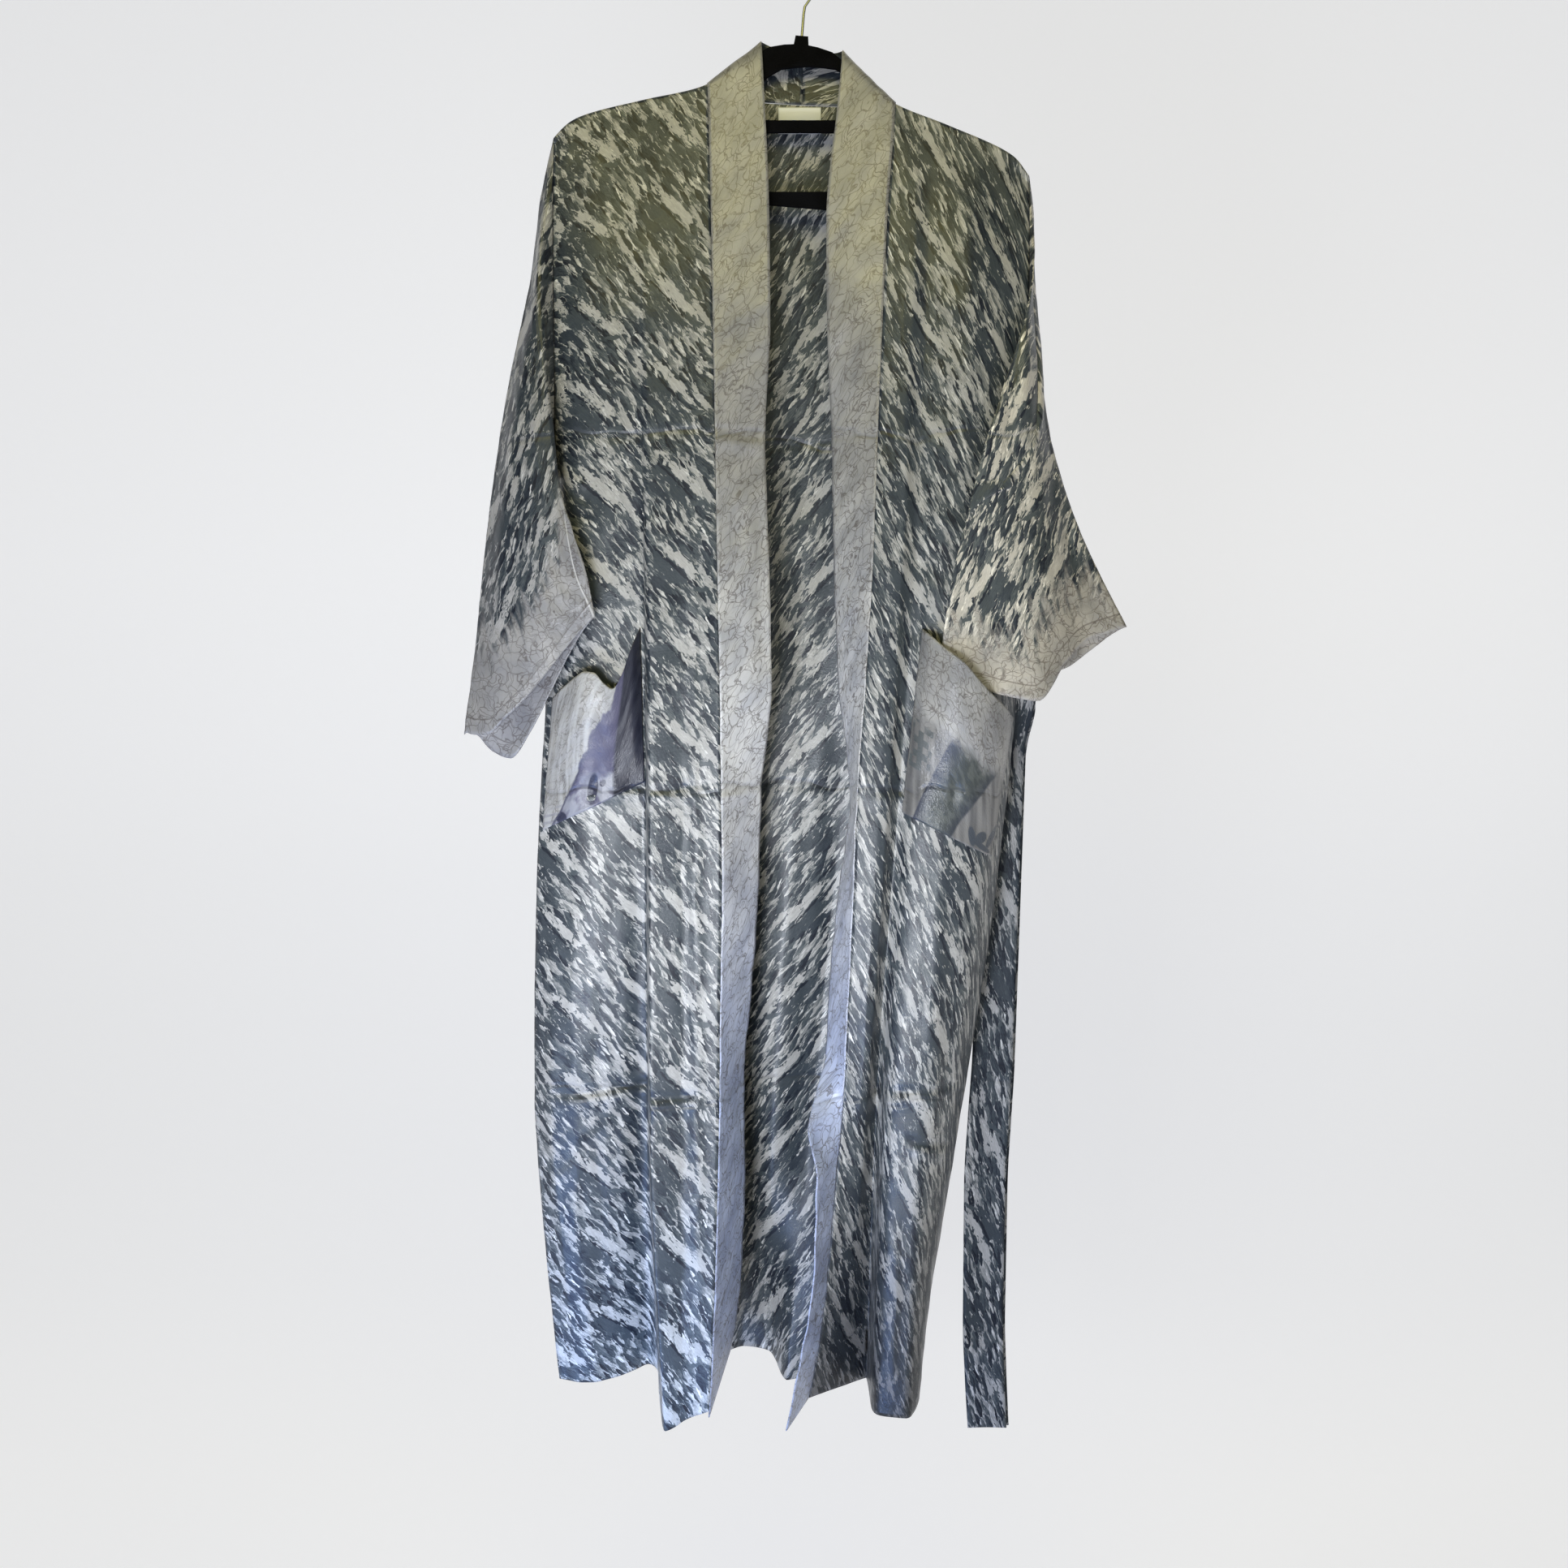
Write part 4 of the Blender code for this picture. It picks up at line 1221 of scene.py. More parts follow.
@dataclass(frozen=True)
class LeafPrint:
    """Satin printed all over with brushed leaves, which may run out into a crackled border."""

    name: str
    lean: Lean
    turn: float = 0.0
    border: float = 0.0
    strip: bool = False
    # Painted light and shade: a tint over the whole cloth, and the tint that it turns to near the hem
    shade: tuple[float, float, float] = (1.0, 1.0, 1.0)
    painted_light_at_hem: tuple[float, float, float] = (1.0, 1.0, 1.0)
    satin: Satin = Satin()
    # Angle from upright of the strokes' streaks, and how far the print wanders and frays, in millimetres
    grain: float = 36.0
    wander: float = 9.0
    fray: float = 2.6
    # The border's upper edge: how far it runs up and down, and from where to where the border fades out
    ragged: float = 30.0
    fade: tuple[float, float] = (-14.0, 22.0)
    # The inner strip, in shares of the width: its middle, half its width, and its edge with its colour, a
    # painted highlight along the sleeve's fold
    strip_at: float = 0.48
    strip_half: float = 0.045
    fold_highlight_at: float = 0.468
    edge: Paint = (0.6, 0.59, 0.56, 1)
    # How far above the hem its stitches run
    stitch_at: float = 15.0
    # Heights between which the painted light and shade near the hem comes in
    painted_light_from: tuple[float, float] = (-1150.0, -1380.0)

    @staticmethod
    def feathers(nodes: Nodes, at: Socket, layer: Feathers, hair: Socket, below: Socket) -> Socket:
        """Lays one layer of close brush strokes over a tone.

        Args:
            nodes: the material's nodes.
            at: the print's own measure in millimetres.
            layer: how its strokes stand.
            hair: fine streaks that run along the strokes.
            below: the tone that shows between them.

        Returns:
            The tone with the strokes on it.
        """
        # Columns of cells, each column with a start of its own; a cell holds one stroke or none
        right, up, _ = nodes.parts(nodes.framed(at, layer.angle, (layer.width, layer.length)))
        column = nodes.math("FLOOR", right)
        own = nodes.plus(column, layer.seed)
        start = nodes.add("ShaderNodeTexWhiteNoise", {"W": own}, noise_dimensions="1D").outputs[0]
        along = nodes.plus(up, nodes.times(start, 9.0))
        row = nodes.math("FLOOR", along)
        shown, shade, fringed = nodes.parts(nodes.chance(nodes.joined(own, row)).outputs[1])
        # The stroke's outline narrows to a point at both ends
        across = nodes.less(nodes.less(right, column), 0.5)
        reach = nodes.less(nodes.less(along, row), 0.5)
        taper = nodes.math("POWER", nodes.math("ABSOLUTE", nodes.times(reach, 2.0)), 2.2)
        half = nodes.plus(nodes.times(taper, -0.49), 0.5)
        side = nodes.math("DIVIDE", across, half)
        cover = nodes.ramp(nodes.math("ABSOLUTE", side), 0.82, 1.0, 1, 0)
        cover = nodes.times(cover, nodes.math("LESS_THAN", shown, layer.share))
        # Its tone falls along it and to one side, and streaks; some strokes have a pale fringe
        body = nodes.colours(shade, tuple((place, (tone,) * 3) for place, tone in layer.tones))
        body = nodes.plus(body, nodes.times(reach, -0.12))
        body = nodes.plus(body, nodes.ramp(side, -0.9, 0.0, -0.1, 0.02))
        body = nodes.plus(body, nodes.sway(hair, -0.13, 0.14))
        fringe = nodes.times(nodes.ramp(side, 0.42, 0.7), nodes.math("GREATER_THAN", fringed, 0.42))
        fringe = nodes.times(fringe, nodes.ramp(hair, 0.4, 0.5))
        return nodes.mix(cover, below, nodes.mix(fringe, body, 0.8))

    def tone(self, nodes: Nodes, flat: Socket) -> Socket:
        """Lays layers of close strokes, and the repeat's large leaves over them.

        Args:
            nodes: the material's nodes.
            flat: the cloth's flat measure in millimetres.

        Returns:
            The print's tone.
        """
        facing = nodes.framed(flat, self.turn, (self.lean.value, 1))
        wander = nodes.scaled(nodes.drift(facing, 0.02, 1), self.wander)
        fray = nodes.scaled(nodes.drift(nodes.framed(facing, self.grain, (2.2, 7)), 1.0, 1), self.fray)
        at = nodes.vector("ADD", facing, nodes.vector("ADD", wander, fray))
        hair = nodes.streaks(at, self.grain, (0.8, 9), 2)
        patch = nodes.streaks(at, 34, (4, 16), 0)
        tone = nodes.ramp(patch, 0.45, 0.55, 0.26, 0.62)
        tone = nodes.plus(tone, nodes.ramp(hair, 0.34, 0.66, -0.14, 0.2))
        for layer in FEATHERS:
            tone = self.feathers(nodes, at, layer, hair, tone)
        # The large strokes are looked for around each place, so that they run on from repeat to repeat
        half = (REPEAT[0] / 2, REPEAT[1] / 2, 1)
        for stroke in STROKES:
            off = nodes.vector("SUBTRACT", at, (stroke.x, stroke.y, 0))
            near = nodes.vector("WRAP", off, half, tuple(-v for v in half))
            place = nodes.framed(near, stroke.angle, (stroke.width, stroke.length))
            reach = nodes.vector("LENGTH", place, out=1)
            soft = nodes.plus(reach, nodes.sway(hair, -stroke.ragged, stroke.ragged))
            body = nodes.plus(nodes.sway(hair, -0.04, 0.05), stroke.tone)
            tone = nodes.mix(nodes.ramp(soft, 0.92, 1.0, 1, 0), tone, body)
        return nodes.math("ADD", tone, 0.0, clamp=True)

    def bordered(self, nodes: Nodes, flat: Socket, colour: Socket) -> Socket:
        """Lays the crackled border, its inner strip with a painted highlight at its edge, and the hem's
        stitches over the print.

        Args:
            nodes: the material's nodes.
            flat: the cloth's flat measure in millimetres.
            colour: the print's colour.

        Returns:
            The colour with the border.
        """
        plain = Crackle.colour(nodes, flat)
        ragged = nodes.streaks(flat, -self.lean.value * 18, (6, 33), 3)
        above = nodes.from_hem()
        cover = nodes.plus(above, nodes.sway(ragged, -self.ragged, self.ragged))
        cover = nodes.ramp(cover, self.border + self.fade[0], self.border + self.fade[1], 1, 0)
        if self.strip:
            across, down = nodes.shares()
            inner = nodes.line(across, self.strip_at, self.strip_half, 0.02)
            inner = nodes.times(inner, nodes.ramp(down, 0.3, 0.5))
            cover = nodes.math("MAXIMUM", cover, inner)
        colour = nodes.mix_colour(cover, colour, plain)
        # A painted highlight along the strip's edge, where the sleeve's fold catches the light
        if self.strip:
            edge = nodes.times(nodes.line(across, self.fold_highlight_at, 0.0015, 0.002), nodes.ramp(down, 0.42, 0.5))
            colour = nodes.mix_colour(nodes.times(edge, 0.7), colour, self.edge)
        stitch = nodes.times(nodes.line(above, self.stitch_at, 0.5, 0.5), 0.6)
        return nodes.mix_colour(stitch, colour, CRACK_INK)

    def material(self) -> bpy.types.Material:
        """The printed satin.

        Returns:
            The material.
        """
        nodes = Nodes(self.name)
        flat = nodes.flat()
        colour = nodes.colours(self.tone(nodes, flat), INK)
        if self.border:
            colour = self.bordered(nodes, flat, colour)
        # Painted light and shade: the print is tinted by height, for how the light falls on each cloth
        low = nodes.ramp(nodes.height(), *self.painted_light_from)
        painted_light_tint = nodes.mix_colour(low, (*self.shade, 1), (*self.painted_light_at_hem, 1))
        colour = nodes.mix_colour(1.0, colour, painted_light_tint, "MULTIPLY")
        return self.satin.surface(nodes, flat, colour)


@dataclass(frozen=True)
class Crackle:
    """Plain grey satin with fine crackle lines, as on the neckband and the cuffs."""

    name: str = "crackle_satin"
    satin: Satin = Satin(gloss=0.33, sheen=0.75)

    @staticmethod
    def colour(nodes: Nodes, flat: Socket, middle: Paint = GREY_SILK) -> Socket:
        """Grey ground with clouds and sets of wandering fine lines.

        Args:
            nodes: the material's nodes.
            flat: the cloth's flat measure in millimetres.
            middle: the ground's colour at the height of the waist; brighter on the neckband, as a painted
                sheen.

        Returns:
            The colour.
        """
        wander = nodes.drift(flat, 0.06, 2)
        fine = nodes.scaled(nodes.drift(flat, 0.3, 1), 1.5)
        # Each set follows the edges of wandering cells, and is faint in places
        lines = None
        for scale, reach, width, shift in CRACKS:
            moved = nodes.vector("ADD", flat, (shift, shift * 0.7, 0))
            at = nodes.vector("ADD", nodes.vector("ADD", moved, nodes.scaled(wander, reach)), fine)
            line = nodes.ramp(nodes.to_edge(at, scale), width * 0.3, width, 1, 0)
            gaps = nodes.noise(nodes.vector("ADD", flat, (shift, 0, 0)), 0.04, 2)
            line = nodes.times(line, nodes.ramp(gaps, 0.36, 0.52, 0.2, 1.0))
            lines = line if lines is None else nodes.math("MAXIMUM", lines, line)
        # The ground turns to its middle colour at the waist, a painted sheen, and bluer further down,
        # painted cool light, with clouds all over
        cloud = nodes.ramp(nodes.noise(flat, 0.026, 4), 0.36, 0.66, 0, 0.8)
        level = nodes.height()
        painted_light_ground = nodes.mix_colour(nodes.ramp(level, *TO_PAINTED_SHEEN), GREY_SILK, middle)
        painted_light_ground = nodes.mix_colour(nodes.ramp(level, *TO_PAINTED_COOL_LIGHT), painted_light_ground, SILK_PAINTED_COOL_LIGHT)
        dull = nodes.mix_colour(1.0, painted_light_ground, CLOUDED, "MULTIPLY")
        base = nodes.mix_colour(cloud, painted_light_ground, dull)
        return nodes.mix_colour(nodes.times(lines, 0.74), base, CRACK_INK)

    def material(self) -> bpy.types.Material:
        """The crackled satin.

        Returns:
            The material.
        """
        nodes = Nodes(self.name)
        flat = nodes.flat()
        # The neckband and the loops get the painted sheen at the waist
        return self.satin.surface(nodes, flat, self.colour(nodes, flat, SILK_PAINTED_SHEEN))


class PocketSide(Enum):
    """Which of the two border prints a pocket is cut from."""

    LEFT = "left"
    RIGHT = "right"


class Dab(NamedTuple):
    """A rounded dab of a pocket's motif: its centre in shares, angle, half length and half width in mm."""

    across: float
    down: float
    angle: float
    length: float
    width: float


@dataclass(frozen=True)
class PocketPrint:
    """Border satin of a pocket: crackled grey, a slanting band or wedge, small plain motifs, and streaks of
    painted sheen.
    """

    side: PocketSide
    satin: Satin = Satin(gloss=0.3, crinkle=0.5)
    wide: float = 100.0
    deep: float = 140.0
    curl: tuple[Dab, ...] = (
        Dab(0.7, 0.93, 20, 9, 4),
        Dab(0.8, 0.91, -40, 8, 5),
        Dab(0.83, 0.965, 80, 13, 3),
        Dab(0.94, 0.87, -25, 15, 4),
    )
    leaf: tuple[Dab, ...] = (
        Dab(0.47, 0.86, 4, 17, 5),
        Dab(0.38, 0.84, 0, 4, 3),
        Dab(0.78, 0.97, -40, 8, 5),
    )
    # The right pocket's colours; a pair is a darker and a lighter one, and the streaks pair is a painted
    # sheen in vertical bands
    streaks: tuple[Paint, Paint] = ((0.1, 0.098, 0.096, 1), (0.2, 0.193, 0.182, 1))
    band: tuple[Paint, Paint] = ((0.042, 0.049, 0.047, 1), (0.072, 0.079, 0.072, 1))
    rim: Paint = (0.024, 0.029, 0.048, 1)
    block: Paint = (0.075, 0.085, 0.086, 1)
    curl_ink: Paint = (0.045, 0.055, 0.07, 1)
    # The left pocket's colours; silver is the light of a painted sheen in vertical streaks
    silver: Paint = (0.38, 0.38, 0.375, 1)
    bar: Paint = (0.2, 0.2, 0.23, 1)
    wedge: tuple[Paint, Paint] = ((0.07, 0.067, 0.115, 1), (0.22, 0.225, 0.255, 1))
    leaf_ink: Paint = (0.024, 0.026, 0.05, 1)
    strip: tuple[Paint, Paint] = ((0.011, 0.012, 0.024, 1), (0.028, 0.03, 0.045, 1))
    seam: Paint = (0.05, 0.05, 0.08, 1)

    def dabs(self, nodes: Nodes, across: Socket, down: Socket, dabs: Sequence[Dab]) -> Socket:
        """1 inside a motif's dabs.

        Args:
            nodes: the material's nodes.
            across: share across the pocket.
            down: share down the pocket.
            dabs: the motif.

        Returns:
            The motif's mask.
        """
        found = None
        for dab in dabs:
            x = nodes.times(nodes.less(across, dab.across), self.wide)
            y = nodes.times(nodes.less(down, dab.down), -self.deep)
            place = nodes.framed(nodes.joined(x, y), dab.angle, (dab.width, dab.length))
            reach = nodes.vector("LENGTH", place, out=1)
            inside = nodes.ramp(reach, 0.85, 1.05, 1, 0)
            found = inside if found is None else nodes.math("MAXIMUM", found, inside)
        return found

    def right(self, nodes: Nodes, flat: Socket) -> Socket:
        """Prints the right pocket: a soft slanting band, small blocks and a curled leaf.

        Args:
            nodes: the material's nodes.
            flat: the cloth's flat measure in millimetres.

        Returns:
            The colour.
        """
        across, down = nodes.shares()
        soft = nodes.sway(nodes.noise(flat, 0.07, 3), -0.035, 0.035)
        # Vertical bands of painted sheen make the ground
        painted_sheen = nodes.ramp(nodes.streaks(flat, 4, (9, 80), 1), 0.35, 0.65)
        ground = nodes.mix_colour(painted_sheen, *self.streaks)
        # The slanting band, mottled inside and darker along both its edges
        past_left = nodes.less(nodes.plus(across, nodes.times(down, 0.448)), 0.568)
        past_right = nodes.less(1.028, nodes.plus(across, nodes.times(down, 0.528)))
        band = nodes.times(nodes.ramp(past_left, -0.006, 0.006), nodes.ramp(past_right, -0.01, 0.01))
        blot = nodes.ramp(nodes.noise(flat, 0.11, 1), 0.46, 0.56)
        inside = nodes.mix_colour(blot, *self.band)
        rim = nodes.ramp(past_right, 0.0, 0.1, 0.6, 0)
        rim = nodes.math("MAXIMUM", nodes.ramp(past_left, 0.0, 0.13, 1, 0), rim)
        inside = nodes.mix_colour(rim, inside, self.rim)
        ground = nodes.mix_colour(band, ground, inside)
        # Small blocks beside the band
        cell = nodes.vector("FLOOR", nodes.joined(nodes.times(across, 21.0), nodes.times(down, 27.0)))
        window = nodes.times(nodes.line(across, 0.12, 0.1, 0.002), nodes.line(down, 0.6, 0.13, 0.002))
        blocks = nodes.times(window, nodes.math("GREATER_THAN", nodes.chance(cell).outputs[0], 0.52))
        ground = nodes.mix_colour(nodes.times(blocks, 0.85), ground, self.block)
        curl = self.dabs(nodes, across, down, self.curl)
        ground = nodes.mix_colour(nodes.times(curl, 0.9), ground, self.curl_ink)
        low = nodes.ramp(nodes.plus(down, soft), 0.41, 0.5)
        return nodes.mix_colour(low, Crackle.colour(nodes, flat), ground)

    def left(self, nodes: Nodes, flat: Socket) -> Socket:
        """Prints the left pocket: silver, a lavender wedge and a dark strip at the inner edge.

        Args:
            nodes: the material's nodes.
            flat: the cloth's flat measure in millimetres.

        Returns:
            The colour.
        """
        across, down = nodes.shares()
        # Vertical streaks of painted sheen over the crackled silver
        painted_sheen = nodes.ramp(nodes.streaks(flat, -6, (7, 60), 2), 0.42, 0.62)
        silver = Crackle.colour(nodes, flat)
        silver = nodes.mix_colour(nodes.times(painted_sheen, 0.75), silver, self.silver)
        # Faint bars near the foot
        bars = nodes.math("SINE", nodes.times(nodes.plus(down, nodes.times(across, 0.16)), 120.0))
        bars = nodes.times(nodes.ramp(bars, 0.1, 0.6, 0, 0.55), nodes.ramp(down, 0.86, 0.88))
        silver = nodes.mix_colour(bars, silver, self.bar)
        # The wedge, paler in spots below, with its motif and the dark strip
        mottle = nodes.noise(flat, 0.06, 2)
        pale = nodes.times(nodes.ramp(down, 0.7, 0.8), nodes.ramp(mottle, 0.38, 0.55))
        wedge = nodes.mix_colour(pale, *self.wedge)
        wedge = nodes.mix_colour(self.dabs(nodes, across, down, self.leaf), wedge, self.leaf_ink)
        strip = nodes.mix_colour(nodes.ramp(mottle, 0.35, 0.65), *self.strip)
        edge = nodes.plus(nodes.times(nodes.times(down, down), 0.5), 0.38)
        wedge = nodes.mix_colour(nodes.line(across, 0.0, 0.27, 0.03), wedge, strip)
        # Silver lies past the wedge's curved edge, with a dark line where they meet
        past = nodes.less(across, nodes.plus(edge, nodes.sway(mottle, -0.02, 0.02)))
        colour = nodes.mix_colour(nodes.ramp(past, -0.008, 0.008), wedge, silver)
        seam = nodes.times(nodes.line(past, -0.01, 0.006, 0.02), nodes.ramp(down, 0.3, 0.7))
        return nodes.mix_colour(nodes.times(seam, 0.8), colour, self.seam)

    def material(self) -> bpy.types.Material:
        """The border satin.

        Returns:
            The material.
        """
        nodes = Nodes(f"pocket_satin_{self.side.value}")
        flat = nodes.flat()
        colour = self.right(nodes, flat) if self.side is PocketSide.RIGHT else self.left(nodes, flat)
        return self.satin.surface(nodes, flat, colour)


@dataclass(frozen=True)
class Ribbon:
    """Cream ribbon satin of the blank label."""

    name: str = "label_satin"
    tones: Tones = ((0.3, (0.74, 0.76, 0.8)), (0.7, (0.84, 0.86, 0.9)))

    def material(self) -> bpy.types.Material:
        """The ribbon satin, with its ribs.

        Returns:
            The material.
        """
        nodes = Nodes(self.name)
        flat = nodes.flat()
        ribs = nodes.streaks(flat, 0, (10, 0.25), 2)
        colour = nodes.colours(ribs, self.tones)
        rough = nodes.sway(ribs, 0.3, 0.42)
        return nodes.finish(colour, rough, nodes.bump(ribs, 0.3, 0.0003), Sheen_Weight=0.2)


@dataclass(frozen=True)
class Flock:
    """Short black nap of the hanger."""

    name: str = "flocked_black"
    tones: Tones = ((0.35, (0.001, 0.001, 0.001)), (0.65, (0.005, 0.005, 0.006)))

    def material(self) -> bpy.types.Material:
        """The black flock.

        Returns:
            The material.
        """
        nodes = Nodes(self.name)
        place = nodes.place()
        nap = nodes.noise(place, 2600, 2)
        rubbed = nodes.noise(place, 38, 3)
        colour = nodes.colours(nodes.mix(0.5, nap, rubbed), self.tones)
        rough = nodes.sway(rubbed, 0.82, 0.96)
        return nodes.finish(colour, rough, nodes.bump(nap, 0.5, 0.0005), Specular_IOR_Level=0.05)


@dataclass(frozen=True)
class Steel:
    """Bright plated wire of the hook."""

    name: str = "bright_steel"
    tones: Tones = ((0.3, (0.22, 0.23, 0.19)), (0.7, (0.36, 0.37, 0.32)))

    def material(self) -> bpy.types.Material:
        """The bright wire, faintly uneven in tone and gloss.

        Returns:
            The material.
        """
        nodes = Nodes(self.name)
        uneven = nodes.noise(nodes.place(), 900, 2)
        colour = nodes.colours(uneven, self.tones)
        rough = nodes.sway(uneven, 0.2, 0.36)
        return nodes.finish(colour, rough, nodes.bump(uneven, 0.1, 0.0001), Metallic=1.0)


@dataclass(frozen=True)
class Paper:
    """Pale, even paint of the floor and backdrop."""

    name: str = "backdrop"
    glow: float = 0.6
    glow_colour: Paint = (0.97, 0.97, 0.975, 1)
    tones: Tones = ((0.3, (0.495, 0.495, 0.5)), (0.7, (0.505, 0.505, 0.51)))

    def material(self) -> bpy.types.Material:
        """The paint, with a faint glow of its own so that it stays even.

        Returns:
            The material.
        """
        nodes = Nodes(self.name)
        grain = nodes.noise(nodes.place(), 60, 3)
        colour = nodes.colours(grain, self.tones)
        made = nodes.finish(colour, 0.95, nodes.bump(grain, 0.03, 0.001), Specular_IOR_Level=0.1)
        nodes.shader.inputs["Emission Color"].default_value = self.glow_colour
        nodes.shader.inputs["Emission Strength"].default_value = self.glow
        return made


def report(piece: bpy.types.Object, nodes: Sequence[str]) -> None:
    """Rides a piece on the body, has it stand for its CAD nodes, and logs it.

    Args:
        piece: the piece.
        nodes: the CAD nodes that it stands for.
    """
    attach(piece, BODY)
    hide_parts(*nodes)
    log.info("%s: %d faces", piece.name, len(piece.data.polygons))


def declare(spread: Spread) -> None:
    """Works out the size of a cloth's flat cut; nothing uses it.

    Args:
        spread: its points.
    """
    width, length, area = spread.cut_size()


@dataclass
class Panels:
    """Both fronts and the back."""

    spacing: float = 3.2
    back_spacing: float = 4.2
    thick: float = 0.6
    counts: tuple[int, ...] = (4, 4, 3, 4, 3, 5)
    waves: Waves = Waves(0.7)
    hem: Hem = Hem(14, 0.3)
    seed: int = 3
    grids: dict[str, Spread] = field(default_factory=dict)

    def heights(self) -> np.ndarray:
        """Nominal heights of the solids' rows.

        Returns:
            The heights, from the top down.
        """
        stops = (TOP, CHEST, UNDERARM, WAIST, THIGH, KNEE, HEM)
        out = [float(TOP)]
        for upper, lower, count in zip(stops, stops[1:], self.counts):
            out += list(np.linspace(upper, lower, count + 1)[1:])
        return np.array(out)

    @staticmethod
    def side_edge(side: Sequence[Side], z: np.ndarray, layer: int) -> np.ndarray:
        """The side edge of a panel.

        Args:
            side: the side seam.
            z: nominal heights.
            layer: -1 for a front, 1 for the back.

        Returns:
            A point for each height.
        """
        return side_point(side, z + (ridge(side[0].x) - BELOW_RIDGE - TOP) * near_top(z), layer)

    def front_columns(
        self, folds: Sequence[Fold], side: Sequence[Side], band: Neckband, z: np.ndarray
    ) -> np.ndarray:
        """Crests, valleys and edges of a front.

        Args:
            folds: its folds, from the left to the right.
            side: its side seam.
            band: the neckband half that it is sewn to.
            z: nominal heights.

        Returns:
            Columns of points from the left to the right, one point for each height.
        """
        out = -1 if side[0].x < 0 else 1
        edge = self.side_edge(side, z, -1)
        shoulder = band_at(band.table, "shoulder").sz
        seam = band.seam_at(z + (shoulder - BELOW_RIDGE - TOP) * near_top(z))
        seam = seam + np.array([out * SEAM, 0, 0])
        inner = [fold_points(fold, z, -1) for fold in folds]
        return np.stack([edge, *inner, seam] if out < 0 else [seam, *inner, edge])

    def back_columns(self, z: np.ndarray) -> np.ndarray:
        """Crests, valleys and edges of the back, from the left to the right, for each height."""
        left, right = (self.side_edge(side, z, 1) for side in (LEFT_SIDE, RIGHT_SIDE))
        return np.stack([left, *[fold_points(fold, z, 1) for fold in BACK], right])

    @staticmethod
    def rows(columns: np.ndarray, layer: int, across: int) -> np.ndarray:
        """All points of a panel, from the shoulder fold down to the hem.

        Args:
            columns: the panel's columns for each height.
            layer: -1 for a front, 1 for the back.
            across: how many steps its width has.

        Returns:
            Rows of points.
        """
        body = ease(range(len(columns)), columns, np.linspace(0, len(columns) - 1, across + 1))
        body = np.moveaxis(body, 0, 1)
        crown = []
        for back, below in CROWN:
            row = []
            for x in body[0, :, 0]:
                if layer > 0 and behind_neck(x):
                    edge = neck_edge(x)
                    row.append((x, edge[1] + NECK_CROWN, edge[2] - SEAM + below))
                else:
                    row.append((x, layer * back, ridge(x) + below))
            crown.append(row)
        return np.concatenate([np.array(crown), body])

    def build(self, finishes: dict[str, bpy.types.Material]) -> None:
        """Args:
            finishes: the material of each piece, by name.
        """
        z = self.heights()
        left = self.front_columns(FRONT_LEFT, LEFT_SIDE, LEFT_BAND, z)
        right = self.front_columns(FRONT_RIGHT, RIGHT_SIDE, RIGHT_BAND, z)
        table = (
            ("front_left", left, -1, 15, CREASES_LEFT, 1.0),
            ("front_right", right, -1, 15, CREASES_RIGHT, 0.0),
            ("back", self.back_columns(z), 1, 36, CREASES_BACK, 0.5),
        )
        for seed, (name, columns, layer, across, creases, u_from) in enumerate(table):
            spread = Spread(self.rows(columns, layer, across))
            spread.refined(self.back_spacing if layer > 0 else self.spacing)
            self.grids[name] = spread
            spread.press(creases, layer)
            spread.ripple(self.waves, seed + self.seed)
            spread.stitch(self.hem, seed)
            piece = spread.to_object(f"{name}_cloth", finishes[name], self.thick, u_from)
            halves = [f"{name}_left", f"{name}_right"] if layer > 0 else [name]
            report(piece, [f"{half}_{part}" for half in halves for part in LENGTHS])
            declare(spread)


